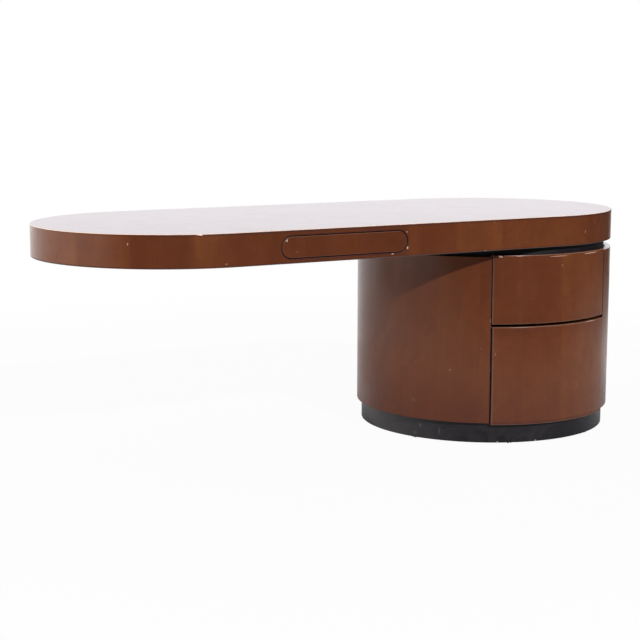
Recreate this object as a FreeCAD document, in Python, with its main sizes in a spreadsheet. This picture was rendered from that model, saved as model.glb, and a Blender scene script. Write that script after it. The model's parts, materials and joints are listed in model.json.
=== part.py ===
"""A cantilever desk: a long round-ended top, carried at one end by a drum pedestal with two drawers.

Lengths are in millimetres. +Z is up, the sitter's side is -Y and the drum stands at the +X end.
The origin is on the floor under the middle of the top.
"""
import FreeCAD
import Part
import Sketcher
import math
import os
import re

# The driving dimensions. Each goes into a cell of the sheet under its own name.
SIZES = {
    # The whole desk
    "top_length": 2032,
    "top_depth": 866,
    "desk_height": 737,
    "top_thickness": 98,
    "reveal_height": 28.5,
    "plinth_height": 70.5,
    "drum_diameter": 866,
    "collar_setback": 23,
    "plinth_setback": 16,
    # Boards of the top
    "veneer_thickness": 1.5,
    "veneer_round": 1,
    "band_thickness": 16,
    "core_thickness": 16,
    "soffit_thickness": 12,
    "rib_thickness": 12,
    # Boards of the drum
    "shell_thickness": 18,
    "deck_thickness": 18,
    "deck_relief": 5,
    "carcass_board": 16,
    "collar_wall": 16,
    "plinth_wall": 16,
    "glide_height": 3,
    "glide_diameter": 14,
    # Fits and cuts
    "glue_gap": 0.1,
    "running_gap": 0.4,
    "hole_clearance": 0.2,
    "cut_overrun": 20,
    # Drawer fronts in the drum, and the width of the drum's wall beside them
    "wall_width": 203.5,
    "upper_front_height": 222,
    "front_gap": 3,
    "front_lip": 5,
    "front_round": 2.5,
    "grip_depth": 8,
    "grip_height": 20,
    "split_gap": 8,
    "lower_drawer_ajar": 5,
    # Drawer boxes
    "drawer_board": 12,
    "drawer_floor": 6,
    "floor_rise": 8,
    "floor_groove": 5,
    "upper_box_rise": 14,
    "upper_box_headroom": 30,
    "lower_box_rise": 36,
    "lower_box_headroom": 49,
    "corner_block": 24,
    # Telescopic slides
    "slide_length": 430,
    "slide_setback": 4,
    "slide_end_room": 14,
    "slide_height": 45,
    "slide_space": 13,
    "slide_wall": 1.5,
    "slide_lip": 7.5,
    # Pencil drawer in the top, and its distance from the left bend
    "pencil_width": 430,
    "pencil_margin": 143.5,
    "pencil_height": 67,
    "pencil_below_top": 17.5,
    "pencil_gap": 2,
    "pencil_round": 2,
    "pencil_box_inset": 17,
    "pencil_box_height": 48,
    "runner_height": 10,
    "runner_bite": 4.5,
    "runner_gap": 2,
    "runner_setback": 10,
    # Touch latch behind the pencil drawer
    "latch_width": 16,
    "latch_length": 20,
    "latch_bore_depth": 16,
    "plunger_diameter": 6,
    "plunger_length": 13,
    "plunger_reach": 2.5,
    # Steel frame
    "beam_offset": 92,
    "beam_width": 50,
    "beam_wall": 4,
    "beam_end_room": 316,
    "post_width": 80,
    "post_wall": 5,
    "post_clearance": 14.5,
    "flange_length": 96,
    "flange_overhang": 10,
    "flange_clearance": 1,
    "foot_length": 90,
    "foot_width": 180,
    "foot_thickness": 10,
    "plate_thickness": 15,
    # Fasteners
    "bolt_diameter": 10,
    "bolt_head_width": 17,
    "bolt_head_height": 6.5,
    "nut_height": 8,
    "bolt_end": 4,
    "top_bolt_pitch": 56,
    "foot_bolt_pitch": 56,
    "foot_bolt_width": 140,
    "screw_diameter": 4,
    "screw_head_diameter": 8,
    "screw_head_height": 3,
    "screw_bite": 10,
}

GLIDE_COUNT = 8
# The sides of a middle line: the sign of x, and the word for it.
HANDS = ((-1, "left"), (1, "right"))
# Places of the ribs, as shares of half the straight length of the top, from its middle.
MIDDLE_RIB_SHARES = (-0.95, -0.475, 0, 0.475)
REAR_RIB_SHARES = (-0.95, -0.57, -0.19, 0.19, 0.57, 0.95)
# Places of the front ribs, as shares of the straight front left of the pencil drawer's bay, and right of it.
LEFT_RIB_SHARES = (0.5,)
RIGHT_RIB_SHARES = (0.31, 0.63, 0.95)
# Heights of the two screws in each corner block, as shares of the block's height.
SCREW_HEIGHT_SHARES = (0.2, 0.8)

# Places worked out from the sizes, written in the sheet's names.
BEND_X = "((top_length - top_depth) / 2)"
END_RADIUS = "(top_depth / 2)"
BAND_INSIDE = "(top_depth / 2 - band_thickness)"
TOP_UNDERSIDE = "(desk_height - top_thickness)"
SOFFIT_TOP = f"({TOP_UNDERSIDE} + soffit_thickness)"
CORE_TOP = "(desk_height - veneer_thickness)"
CORE_UNDERSIDE = f"({CORE_TOP} - core_thickness)"
DRUM_TOP = f"({TOP_UNDERSIDE} - reveal_height)"
DECK_UNDERSIDE = f"({DRUM_TOP} - deck_thickness)"
FLOOR_TOP = "(plinth_height + deck_thickness)"
# The drum's outer side lines up with the end of the top.
DRUM_X = "((top_length - drum_diameter) / 2)"
DRUM_RADIUS = "(drum_diameter / 2)"
SHELL_INSIDE = f"({DRUM_RADIUS} - shell_thickness)"
CABINET_INSIDE = f"({DRUM_RADIUS} - wall_width)"
CABINET_OUTSIDE = f"({CABINET_INSIDE} + carcass_board)"
CABINET_FRONT = f"(glue_gap - sqrt({SHELL_INSIDE}^2 - {CABINET_OUTSIDE}^2))"
SLIDE_FRONT = f"({CABINET_FRONT} + slide_setback)"
SLIDE_BACK = f"({SLIDE_FRONT} + slide_length)"
CABINET_BACK = f"({SLIDE_BACK} + slide_end_room)"
BOX_OUTSIDE = f"({CABINET_INSIDE} - slide_space)"
BOX_INSIDE = f"({BOX_OUTSIDE} - drawer_board)"
# The upper drawer has a set height, and the lower one takes the rest of the drum.
UPPER_FRONT_HIGH = f"({DRUM_TOP} + front_lip)"
UPPER_FRONT_LOW = f"({UPPER_FRONT_HIGH} - upper_front_height)"
UPPER_BOX_LOW = f"({UPPER_FRONT_LOW} + upper_box_rise)"
UPPER_BOX_HIGH = f"({DECK_UNDERSIDE} - upper_box_headroom)"
LOWER_FRONT_LOW = "(plinth_height - front_lip)"
LOWER_FRONT_HIGH = f"({UPPER_FRONT_LOW} - split_gap)"
LOWER_BOX_LOW = f"({LOWER_FRONT_LOW} + lower_box_rise)"
LOWER_BOX_HIGH = f"({LOWER_FRONT_HIGH} - lower_box_headroom)"
BEAM_INNER = "(beam_offset - beam_width / 2)"
BEAM_OUTER = "(beam_offset + beam_width / 2)"
POST_X = f"({CABINET_OUTSIDE} + post_clearance + post_width / 2)"
PENCIL_X = f"(pencil_margin + pencil_width / 2 - {BEND_X})"
PENCIL_Z = "(desk_height - pencil_below_top - pencil_height / 2)"
PENCIL_BOX_HALF = "(pencil_width / 2 - pencil_box_inset)"
BAY_INSIDE = f"({PENCIL_BOX_HALF} + runner_gap)"
BAY_OUTSIDE = f"({BAY_INSIDE} + rib_thickness)"
BAY_BACK = f"(-{BEAM_OUTER} - rib_thickness)"
LATCH_FRONT = f"({BAY_BACK} - latch_length)"
PENCIL_BACK = f"({LATCH_FRONT} - plunger_reach - running_gap)"

doc = FreeCAD.newDocument("cantilever_desk")
sheet = doc.addObject("Spreadsheet::Sheet", "Sizes")
for row, (alias, size) in enumerate(SIZES.items(), start=1):
    sheet.set(f"A{row}", alias)
    sheet.set(f"B{row}", str(size))
    sheet.setAlias(f"B{row}", alias)
doc.recompute()

WORD = re.compile(r"[a-z][a-z_]*")
ORIGIN = FreeCAD.Vector(0, 0, 0)
UPWARD = FreeCAD.Vector(0, 0, 1)
ALONG_Y = FreeCAD.Rotation(FreeCAD.Vector(1, 0, 0), -90)
# How a sketch numbers the points of a line or an arc, and its own axes and origin.
START, END, CENTRE = 1, 2, 3
X_AXIS = -1
ROOT = (-1, 1)
nodes = []


def formula(text):
    """The text as an expression of the document: each of the sheet's names is read from the sheet."""
    return WORD.sub(lambda word: f"Sizes.{word[0]}" if word[0] in SIZES else word[0], text)


def bind(item, sizes):
    """Ties properties of the item to formulas."""
    for name, text in sizes.items():
        item.setExpression(name, formula(text))


def place(item, x, y, z):
    """Ties the item's place to formulas."""
    bind(item, {"Placement.Base.x": x, "Placement.Base.y": y, "Placement.Base.z": z})
    return item


def node(item, label):
    """Keeps the item as a finished piece under its own label."""
    item.Label = label
    nodes.append(item)
    return item


# Shapes that several pieces share


def board(name, x, y, z):
    """A square-edged board from one place to another along each axis."""
    item = doc.addObject("Part::Box", name)
    for side, (low, high) in zip(("Length", "Width", "Height"), (x, y, z)):
        bind(item, {side: f"({high}) - ({low})"})
    return place(item, x[0], y[0], z[0])


def rod(name, radius, length, x, y, z, turn=None):
    """A round bar that starts at a place and runs up, or along a turned axis."""
    item = doc.addObject("Part::Cylinder", name)
    if turn:
        item.Placement = FreeCAD.Placement(ORIGIN, turn)
    bind(item, {"Radius": radius, "Height": length})
    return place(item, x, y, z)


def hexagon(name, width, height, x, y, z):
    """A six-sided head or nut of that width across its corners."""
    item = doc.addObject("Part::Prism", name)
    item.Polygon = 6
    bind(item, {"Circumradius": f"{width} / 2", "Height": height})
    return place(item, x, y, z)


def fuse(name, *parts):
    """The parts welded or turned as one."""
    item = doc.addObject("Part::MultiFuse", name)
    item.Shapes = list(parts)
    item.Refine = True
    return item


def group(name, parts):
    """Separate alike solids in one node."""
    item = doc.addObject("Part::Compound", name)
    item.Links = list(parts)
    return item


def cut(name, base, *tools):
    """The base with the tools taken out of it."""
    item = doc.addObject("Part::Cut", name)
    item.Base = base
    item.Tool = tools[0] if len(tools) == 1 else group(f"{name}_tools", tools)
    return item


def common(name, base, tool):
    """What lies in both shapes."""
    item = doc.addObject("Part::Common", name)
    item.Base = base
    item.Tool = tool
    return item


def span(side, near, far, middle="0"):
    """Low and high places of a piece on one side of a middle; side is 1 or -1."""
    low, high = (near, far) if side > 0 else (f"-({far})", f"-({near})")
    return f"{middle} + {low}", f"{middle} + {high}"


def body(name, x="0", y="0"):
    """A solid that is drawn in sketches, standing at a place."""
    return place(doc.addObject("PartDesign::Body", name), x, y, "0")


def sketch(owner, name, role="XY_Plane", right="0", up="0", out="0"):
    """A sketch on one of the body's own planes, moved in its own axes."""
    item = owner.newObject("Sketcher::SketchObject", name)
    plane = next(feature for feature in owner.Origin.OriginFeatures if feature.Role == role)
    item.AttachmentSupport = [(plane, "")]
    item.MapMode = "FlatFace"
    offset = {"x": right, "y": up, "z": out}
    bind(item, {f"AttachmentOffset.Base.{axis}": text for axis, text in offset.items()})
    return item


def pad(owner, profile, height):
    """The sketch given a height."""
    item = owner.newObject("PartDesign::Pad", f"{profile.Name}_pad")
    item.Profile = profile
    bind(item, {"Length": height})
    doc.recompute()
    return item


def dimension(item, name, text, *constraint):
    """Adds a sized constraint to a sketch and ties it to a formula."""
    index = item.addConstraint(Sketcher.Constraint(*constraint))
    item.renameConstraint(index, name)
    bind(item, {f"Constraints.{name}": text})


def draw_stadium(item, name, straight, radius, guess_straight, guess_radius):
    """Two straight sides joined by half circles, about the sketch's origin."""
    half = guess_straight / 2
    low_left = FreeCAD.Vector(-half, -guess_radius, 0)
    low_right = FreeCAD.Vector(half, -guess_radius, 0)
    high_left = FreeCAD.Vector(-half, guess_radius, 0)
    high_right = FreeCAD.Vector(half, guess_radius, 0)
    right_circle = Part.Circle(FreeCAD.Vector(half, 0, 0), UPWARD, guess_radius)
    left_circle = Part.Circle(FreeCAD.Vector(-half, 0, 0), UPWARD, guess_radius)
    near, right, far, left = item.addGeometry([
        Part.LineSegment(low_left, low_right),
        Part.ArcOfCircle(right_circle, -math.pi / 2, math.pi / 2),
        Part.LineSegment(high_right, high_left),
        Part.ArcOfCircle(left_circle, math.pi / 2, 3 * math.pi / 2),
    ], False)
    for first, second in ((near, right), (right, far), (far, left), (left, near)):
        item.addConstraint(Sketcher.Constraint("Tangent", first, END, second, START))
    item.addConstraint(Sketcher.Constraint("Equal", right, left))
    item.addConstraint(Sketcher.Constraint("PointOnObject", right, CENTRE, X_AXIS))
    item.addConstraint(Sketcher.Constraint("Symmetric", left, CENTRE, right, CENTRE, *ROOT))
    dimension(item, f"{name}_straight", straight, "DistanceX", left, CENTRE, right, CENTRE, guess_straight)
    dimension(item, f"{name}_radius", radius, "Radius", right, guess_radius)


def draw_circle(item, name, radius, guess):
    """A circle about the sketch's origin."""
    circle = item.addGeometry(Part.Circle(ORIGIN, UPWARD, guess), False)
    item.addConstraint(Sketcher.Constraint("Coincident", circle, CENTRE, *ROOT))
    dimension(item, f"{name}_radius", radius, "Radius", circle, guess)


def draw_bent_board(item, half_width, whole_round):
    """A board bent to the drum's curve, ending at two lines square to the front.

    The short stretch across the front is a drawer front; the rest of the round is the drum's shell.
    """
    outer_guess = SIZES["drum_diameter"] / 2
    inner_guess = outer_guess - SIZES["shell_thickness"]
    half_guess = outer_guess - SIZES["wall_width"]
    arcs = []
    for radius in (outer_guess, inner_guess):
        spread = math.asin(half_guess / radius)
        ends = (-math.pi / 2 - spread, -math.pi / 2 + spread)
        if whole_round:
            ends = (ends[1], ends[0] + 2 * math.pi)
        arcs.append(Part.ArcOfCircle(Part.Circle(ORIGIN, UPWARD, radius), *ends))
    outer, inner = item.addGeometry(arcs, False)
    first = Part.LineSegment(arcs[0].EndPoint, arcs[1].EndPoint)
    second = Part.LineSegment(arcs[1].StartPoint, arcs[0].StartPoint)
    finish, start = item.addGeometry([first, second], False)
    for arc in (outer, inner):
        item.addConstraint(Sketcher.Constraint("Coincident", arc, CENTRE, *ROOT))
    corners = (
        (outer, END, finish, START),
        (finish, END, inner, END),
        (inner, START, start, START),
        (start, END, outer, START),
    )
    for corner in corners:
        item.addConstraint(Sketcher.Constraint("Coincident", *corner))
    for line in (finish, start):
        item.addConstraint(Sketcher.Constraint("Vertical", line))
    dimension(item, "outer_radius", DRUM_RADIUS, "Radius", outer, outer_guess)
    dimension(item, "inner_radius", SHELL_INSIDE, "Radius", inner, inner_guess)
    right_end, left_end = (START, END) if whole_round else (END, START)
    dimension(item, "right_half", half_width, "DistanceX", *ROOT, outer, right_end, half_guess)
    dimension(item, "left_half", half_width, "DistanceX", outer, left_end, *ROOT, half_guess)


def round_edges(owner, feature, radius, wanted):
    """Rounds the edges of a body's feature whose middle point is a wanted one."""
    names = []
    for index, edge in enumerate(feature.Shape.Edges, start=1):
        middle = edge.valueAt((edge.FirstParameter + edge.LastParameter) / 2)
        if wanted(middle):
            names.append(f"Edge{index}")
    item = owner.newObject("PartDesign::Fillet", f"{owner.Name}_round")
    item.Base = (feature, names)
    bind(item, {"Radius": radius})
    doc.recompute()
    return item


# The top


def stadium_board(name, inset, low, thickness):
    """A board with the outline of the top, drawn in by an inset."""
    owner = body(name)
    outline = sketch(owner, f"{name}_outline", out=low)
    straight_guess = SIZES["top_length"] - SIZES["top_depth"]
    draw_stadium(outline, "edge", "top_length - top_depth", f"{END_RADIUS} - ({inset})",
                 straight_guess, SIZES["top_depth"] / 2)
    return owner, pad(owner, outline, thickness)


def top_skins():
    """The veneered writing surface, the core board under it and the soffit that closes the top below."""
    veneer, slab = stadium_board("top_veneer", "0", CORE_TOP, "veneer_thickness")
    middle_height = SIZES["desk_height"] - SIZES["veneer_thickness"] / 2
    round_edges(veneer, slab, "veneer_round", lambda middle: middle.z > middle_height)
    node(veneer, "top_veneer")
    inset = "band_thickness + glue_gap"
    core, _ = stadium_board("top_core", inset, CORE_UNDERSIDE, "core_thickness")
    node(core, "top_core")
    soffit, _ = stadium_board("soffit_blank", inset, TOP_UNDERSIDE, "soffit_thickness")
    holes = []
    for side, hand in HANDS:
        length = "(flange_length / 2 + flange_clearance)"
        width = f"({BEAM_OUTER} + flange_overhang + flange_clearance)"
        x = span(side, f"{POST_X} - {length}", f"{POST_X} + {length}", DRUM_X)
        z = (f"{TOP_UNDERSIDE} - cut_overrun", f"{SOFFIT_TOP} + cut_overrun")
        holes.append(board(f"flange_hole_{hand}", x, (f"-{width}", width), z))
    node(cut("soffit", soffit, *holes), "soffit_panel")


def edge_band():
    """The bent band round the top, with the round-ended opening of the pencil drawer."""
    owner = body("edge_band")
    outline = sketch(owner, "band_outline", out=TOP_UNDERSIDE)
    straight = SIZES["top_length"] - SIZES["top_depth"]
    outer_guess = SIZES["top_depth"] / 2
    inner_guess = outer_guess - SIZES["band_thickness"]
    draw_stadium(outline, "outer", "top_length - top_depth", END_RADIUS, straight, outer_guess)
    draw_stadium(outline, "inner", "top_length - top_depth", BAND_INSIDE, straight, inner_guess)
    ring = pad(owner, outline, "top_thickness - veneer_thickness")
    opening = sketch(owner, "pencil_opening", "XZ_Plane", PENCIL_X, PENCIL_Z)
    draw_stadium(opening, "opening", "pencil_width - pencil_height", "pencil_height / 2",
                 SIZES["pencil_width"] - SIZES["pencil_height"], SIZES["pencil_height"] / 2)
    pocket = owner.newObject("PartDesign::Pocket", "pencil_pocket")
    pocket.Profile = opening
    pocket.Type = "ThroughAll"
    pocket.Reversed = True
    doc.recompute()
    if pocket.Shape.Volume >= ring.Shape.Volume:
        raise RuntimeError("the pencil drawer's opening cuts nothing")
    node(owner, "edge_band")


def rib_group():
    """Plywood ribs between the core and the soffit, in front of, between and behind the beams."""
    front = (f"-{BAND_INSIDE}", f"-{BEAM_OUTER}")
    bay_left = f"({PENCIL_X} - {BAY_OUTSIDE})"
    bay_right = f"({PENCIL_X} + {BAY_OUTSIDE})"
    rows = (
        ("left", LEFT_RIB_SHARES, f"(-{BEND_X})", bay_left, front),
        ("right", RIGHT_RIB_SHARES, bay_right, BEND_X, front),
        ("middle", MIDDLE_RIB_SHARES, "0", BEND_X, (f"-{BEAM_INNER}", BEAM_INNER)),
        ("rear", REAR_RIB_SHARES, "0", BEND_X, (BEAM_OUTER, BAND_INSIDE)),
    )
    ribs = []
    for row_name, shares, start, finish, y in rows:
        for number, share in enumerate(shares, start=1):
            middle = f"({start} + {share} * ({finish} - {start}))"
            x = (f"{middle} - rib_thickness / 2", f"{middle} + rib_thickness / 2")
            ribs.append(board(f"{row_name}_rib_{number}", x, y, (SOFFIT_TOP, CORE_UNDERSIDE)))
    node(group("ribs", ribs), "cross_ribs")


def pencil_bay():
    """The walls, back rail and hardwood runners that hold the pencil drawer inside the top."""
    z = (SOFFIT_TOP, CORE_UNDERSIDE)
    y = (f"-{BAND_INSIDE}", f"-{BEAM_OUTER}")
    runners = []
    for side, hand in HANDS:
        wall = board(f"bay_{hand}", span(side, BAY_INSIDE, BAY_OUTSIDE, PENCIL_X), y, z)
        node(wall, f"bay_wall_{hand}")
        x = span(side, f"{BAY_INSIDE} - runner_gap - runner_bite", BAY_INSIDE, PENCIL_X)
        reach = (f"runner_setback - {BAND_INSIDE}", f"{LATCH_FRONT} - runner_setback")
        height = (f"{PENCIL_Z} - runner_height / 2", f"{PENCIL_Z} + runner_height / 2")
        runners.append(board(f"runner_{hand}", x, reach, height))
    node(group("runners", runners), "pencil_runners")
    x = (f"{PENCIL_X} - {BAY_INSIDE}", f"{PENCIL_X} + {BAY_INSIDE}")
    node(board("bay_rail", x, (BAY_BACK, f"-{BEAM_OUTER}"), z), "bay_back_rail")


def touch_latch():
    """A push latch on the bay's back rail, with its plunger just short of the drawer's back."""
    half = "latch_width / 2"
    x = (f"{PENCIL_X} - {half}", f"{PENCIL_X} + {half}")
    z = (f"{PENCIL_Z} - {half}", f"{PENCIL_Z} + {half}")
    case = board("latch_case", x, (LATCH_FRONT, BAY_BACK), z)
    bore_length = "latch_bore_depth + cut_overrun"
    bore_radius = "plunger_diameter / 2 + hole_clearance"
    mouth = f"{LATCH_FRONT} - cut_overrun"
    bore = rod("latch_bore", bore_radius, bore_length, PENCIL_X, mouth, PENCIL_Z, ALONG_Y)
    node(cut("latch_body", case, bore), "touch_latch_body")
    tip = f"{LATCH_FRONT} - plunger_reach"
    plunger = rod("plunger", "plunger_diameter / 2", "plunger_length", PENCIL_X, tip, PENCIL_Z, ALONG_Y)
    node(plunger, "touch_latch_plunger")


# Drawer boxes


def drawer_box(name, middle, outside, y, z, trim=None):
    """Two grooved sides, a back and a bottom held in the grooves.

    Where the front is bent, trim is the round that their front ends are cut to.
    """
    front, back = y
    low, high = z
    inside = f"({outside} - drawer_board)"
    groove_low = f"({low} + floor_rise)"
    groove_high = f"({groove_low} + drawer_floor)"

    def fitted(piece, label):
        if trim:
            piece = common(f"{label}_trimmed", piece, trim)
        return node(piece, label)

    for side, hand in HANDS:
        blank = board(f"{name}_{hand}_blank", span(side, inside, outside, middle), y, z)
        x = span(side, f"{inside} - cut_overrun", f"{inside} + floor_groove", middle)
        run = (f"{front} - cut_overrun", f"{back} + cut_overrun")
        tools = [board(f"{name}_{hand}_groove", x, run, (groove_low, groove_high))]
        if name == "pencil":
            x = span(side, f"{outside} - runner_bite - running_gap", f"{outside} + cut_overrun", middle)
            slot = "(runner_height / 2 + running_gap)"
            slot_z = (f"{PENCIL_Z} - {slot}", f"{PENCIL_Z} + {slot}")
            tools.append(board(f"{name}_{hand}_slot", x, run, slot_z))
        fitted(cut(f"{name}_{hand}", blank, *tools), f"{name}_side_{hand}")
    x = (f"{middle} - {inside}", f"{middle} + {inside}")
    node(board(f"{name}_rear", x, (f"{back} - drawer_board", back), (groove_high, high)), f"{name}_back")
    reach = f"({inside} + floor_groove - glue_gap)"
    x = (f"{middle} - {reach}", f"{middle} + {reach}")
    fitted(board(f"{name}_floor", x, y, (groove_low, groove_high)), f"{name}_bottom")


def pencil_drawer():
    """The shallow drawer in the top; its front is flush with the band."""
    owner = body("pencil_front")
    outline = sketch(owner, "pencil_face", "XZ_Plane", PENCIL_X, PENCIL_Z, BAND_INSIDE)
    straight_guess = SIZES["pencil_width"] - SIZES["pencil_height"]
    radius_guess = SIZES["pencil_height"] / 2 - SIZES["pencil_gap"]
    draw_stadium(outline, "face", "pencil_width - pencil_height", "pencil_height / 2 - pencil_gap",
                 straight_guess, radius_guess)
    face = pad(owner, outline, "band_thickness")
    middle_depth = (SIZES["top_depth"] - SIZES["band_thickness"]) / 2
    round_edges(owner, face, "pencil_round", lambda middle: middle.y < -middle_depth)
    node(owner, "pencil_front")
    z = (f"({PENCIL_Z} - pencil_box_height / 2)", f"({PENCIL_Z} + pencil_box_height / 2)")
    drawer_box("pencil", PENCIL_X, PENCIL_BOX_HALF, (f"-{BAND_INSIDE}", PENCIL_BACK), z)


def block_back(out):
    """The back face of a corner block, behind the place where the drawer's side meets its front."""
    return f"corner_block - sqrt({SHELL_INSIDE}^2 - {BOX_OUTSIDE}^2) - {out}"


def front_screws(name, side, hand, low, high, out):
    """Screws through a corner block into the bent front, with the holes they need."""
    inset = f"({BOX_INSIDE} - corner_block / 2)"
    x = f"{DRUM_X} + {side} * {inset}"
    tip = f"(-sqrt({SHELL_INSIDE}^2 - {inset}^2) - screw_bite - {out})"
    seat = f"({block_back(out)})"
    screws, holes = [], []
    for number, share in enumerate(SCREW_HEIGHT_SHARES, start=1):
        z = f"{low} + {share} * ({high} - {low})"
        label = f"{name}_{hand}_{number}"
        shank = rod(f"{label}_shank", "screw_diameter / 2", f"{seat} - {tip}", x, tip, z, ALONG_Y)
        head = rod(f"{label}_head", "screw_head_diameter / 2", "screw_head_height", x, seat, z, ALONG_Y)
        screws.append(fuse(f"{label}_screw", shank, head))
        radius = "screw_diameter / 2 + hole_clearance"
        start = f"{tip} - hole_clearance"
        length = f"{seat} - {tip} + hole_clearance + cut_overrun"
        holes.append(rod(f"{label}_hole", radius, length, x, start, z, ALONG_Y))
    return screws, holes


def drum_drawer(name, front_low, front_high, grip_low, box_low, box_high, out):
    """A drawer of the drum: a bent front with a grip lip, its box, corner blocks and screws."""
    owner = body(f"{name}_bent", DRUM_X, f"-{out}")
    outline = sketch(owner, f"{name}_plan", out=front_low)
    draw_bent_board(outline, f"{CABINET_INSIDE} - front_gap", False)
    face = pad(owner, outline, f"{front_high} - {front_low}")
    middle_radius = (SIZES["drum_diameter"] - SIZES["shell_thickness"]) / 2
    round_edges(owner, face, "front_round", lambda middle: math.hypot(middle.x, middle.y) > middle_radius)
    trim = rod(f"{name}_trim", f"{SHELL_INSIDE} - glue_gap", "desk_height", DRUM_X, f"-{out}", "0")
    front = f"(-{SHELL_INSIDE} - {out})"
    back = f"({SLIDE_BACK} - {out})"
    drawer_box(name, DRUM_X, BOX_OUTSIDE, (front, back), (box_low, box_high), trim)
    block_low = f"({box_low} + floor_rise + drawer_floor)"
    blocks, screws, holes = [], [], []
    for side, hand in HANDS:
        some_screws, some_holes = front_screws(name, side, hand, block_low, box_high, out)
        x = span(side, f"{BOX_INSIDE} - corner_block", BOX_INSIDE, DRUM_X)
        batten = board(f"{name}_{hand}_batten", x, (front, block_back(out)), (block_low, box_high))
        blank = common(f"{name}_{hand}_block", batten, trim)
        blocks.append(cut(f"{name}_{hand}_drilled", blank, *some_holes))
        screws += some_screws
        holes += some_holes
    grip = rod(f"{name}_grip", f"{SHELL_INSIDE} + grip_depth", "grip_height + cut_overrun",
               DRUM_X, f"-{out}", grip_low)
    node(cut(f"{name}_face", owner, grip, *holes), f"{name}_front")
    node(group(f"{name}_blocks", blocks), f"{name}_corner_blocks")
    node(group(f"{name}_screws", screws), f"{name}_front_screws")


# Telescopic slides


def slide_member(label, side, near, far, web_on_wall, half_height, height, out):
    """A folded steel channel between two depths off the cabinet's wall, with its web at one of them."""
    x = (f"({CABINET_INSIDE} - ({far}))", f"({CABINET_INSIDE} - ({near}))")
    y = (f"{SLIDE_FRONT} - {out}", f"{SLIDE_BACK} - {out}")
    z = (f"{height} - ({half_height})", f"{height} + ({half_height})")
    bar = board(f"{label}_bar", span(side, *x, DRUM_X), y, z)
    if web_on_wall:
        x = (f"{x[0]} - cut_overrun", f"{x[1]} - slide_wall")
    else:
        x = (f"{x[0]} + slide_wall", f"{x[1]} + cut_overrun")
    y = (f"{y[0]} - cut_overrun", f"{y[1]} + cut_overrun")
    z = (f"{z[0]} + slide_wall", f"{z[1]} - slide_wall")
    hollow = board(f"{label}_hollow", span(side, *x, DRUM_X), y, z)
    node(cut(f"{label}_channel", bar, hollow), label)


def slide_set(name, height, out):
    """Three nested members on each side: one on the cabinet, one between and one on the drawer."""
    lip = "slide_space - running_gap"
    outer_half = "slide_height / 2"
    middle_half = f"{outer_half} - slide_wall - running_gap"
    inner_half = f"{middle_half} - slide_wall - running_gap"
    for side, hand in HANDS:
        label = f"{name}_slide_outer_{hand}"
        slide_member(label, side, "0", lip, True, outer_half, height, "0")
        label = f"{name}_slide_middle_{hand}"
        slide_member(label, side, "slide_wall + running_gap", lip, True, middle_half, height, f"{out} / 2")
        label = f"{name}_slide_inner_{hand}"
        slide_member(label, side, "slide_space - slide_lip", "slide_space", False, inner_half, height, out)


# The drum


def drum_shell():
    """The bent wall of the drum, open across the drawers."""
    owner = body("drum_shell", DRUM_X)
    outline = sketch(owner, "shell_plan", out="plinth_height")
    draw_bent_board(outline, CABINET_INSIDE, True)
    pad(owner, outline, f"{DRUM_TOP} - plinth_height")
    node(owner, "drum_shell")


def round_board(name, radius, guess, low, thickness, hole=None, hole_guess=None):
    """A disc, or a ring where it has a hole, on the drum's axis."""
    owner = body(name, DRUM_X)
    outline = sketch(owner, f"{name}_plan", out=low)
    draw_circle(outline, "rim", radius, guess)
    if hole:
        draw_circle(outline, "hole", hole, hole_guess)
    pad(owner, outline, thickness)
    return owner


def front_relief(name, low, high):
    """The room behind the drawer fronts that is cut out of a deck's rim."""
    x = (f"{DRUM_X} - {CABINET_INSIDE}", f"{DRUM_X} + {CABINET_INSIDE}")
    z = (f"{low} - cut_overrun", f"{high} + cut_overrun")
    block = board(f"{name}_block", x, (f"-{DRUM_RADIUS}", "0"), z)
    keep = rod(f"{name}_keep", f"{SHELL_INSIDE} - deck_relief", f"{z[1]} - ({z[0]})", DRUM_X, "0", z[0])
    return cut(f"{name}_relief", block, keep)


def foot_bolt_places():
    """The places of the bolts in the posts' feet."""
    for side in (-1, 1):
        for row in (-1, 1):
            for column in (-1, 1):
                x = f"{DRUM_X} + {side} * {POST_X} + {column} * foot_bolt_pitch / 2"
                yield x, f"{row} * foot_bolt_width / 2"


def top_bolt_places():
    """The places of the bolts that hold the beams down on the posts' flanges."""
    for side in (-1, 1):
        for row in (-1, 1):
            for column in (-1, 1):
                x = f"{DRUM_X} + {side} * {POST_X} + {column} * top_bolt_pitch / 2"
                yield x, f"{row} * beam_offset"


def bolt_holes(name, places, low, high):
    """Clearance holes for bolts, from one height to another."""
    length = f"({high}) - ({low}) + 2 * cut_overrun"
    radius = "bolt_diameter / 2 + hole_clearance"
    return [rod(f"{name}_{number}", radius, length, x, y, f"{low} - cut_overrun")
            for number, (x, y) in enumerate(places, start=1)]


def drum_decks():
    """The decks that close the drum; the posts pass the upper one and stand on the lower one."""
    guess = SIZES["drum_diameter"] / 2 - SIZES["shell_thickness"]
    rim = f"{SHELL_INSIDE} - glue_gap"
    upper = round_board("upper_deck", rim, guess, DECK_UNDERSIDE, "deck_thickness")
    holes = []
    for side, hand in HANDS:
        half = "(post_width / 2 + flange_clearance)"
        x = span(side, f"{POST_X} - {half}", f"{POST_X} + {half}", DRUM_X)
        z = (f"{DECK_UNDERSIDE} - cut_overrun", f"{DRUM_TOP} + cut_overrun")
        holes.append(board(f"post_hole_{hand}", x, (f"-{half}", half), z))
    node(cut("top_deck", upper, front_relief("top_deck", DECK_UNDERSIDE, DRUM_TOP), *holes), "drum_top_deck")
    lower = round_board("lower_deck", rim, guess, "plinth_height", "deck_thickness")
    holes = bolt_holes("deck_hole", foot_bolt_places(), "plinth_height", FLOOR_TOP)
    relief = front_relief("bottom_deck", "plinth_height", FLOOR_TOP)
    node(cut("bottom_deck", lower, relief, *holes), "drum_bottom_deck")


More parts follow.
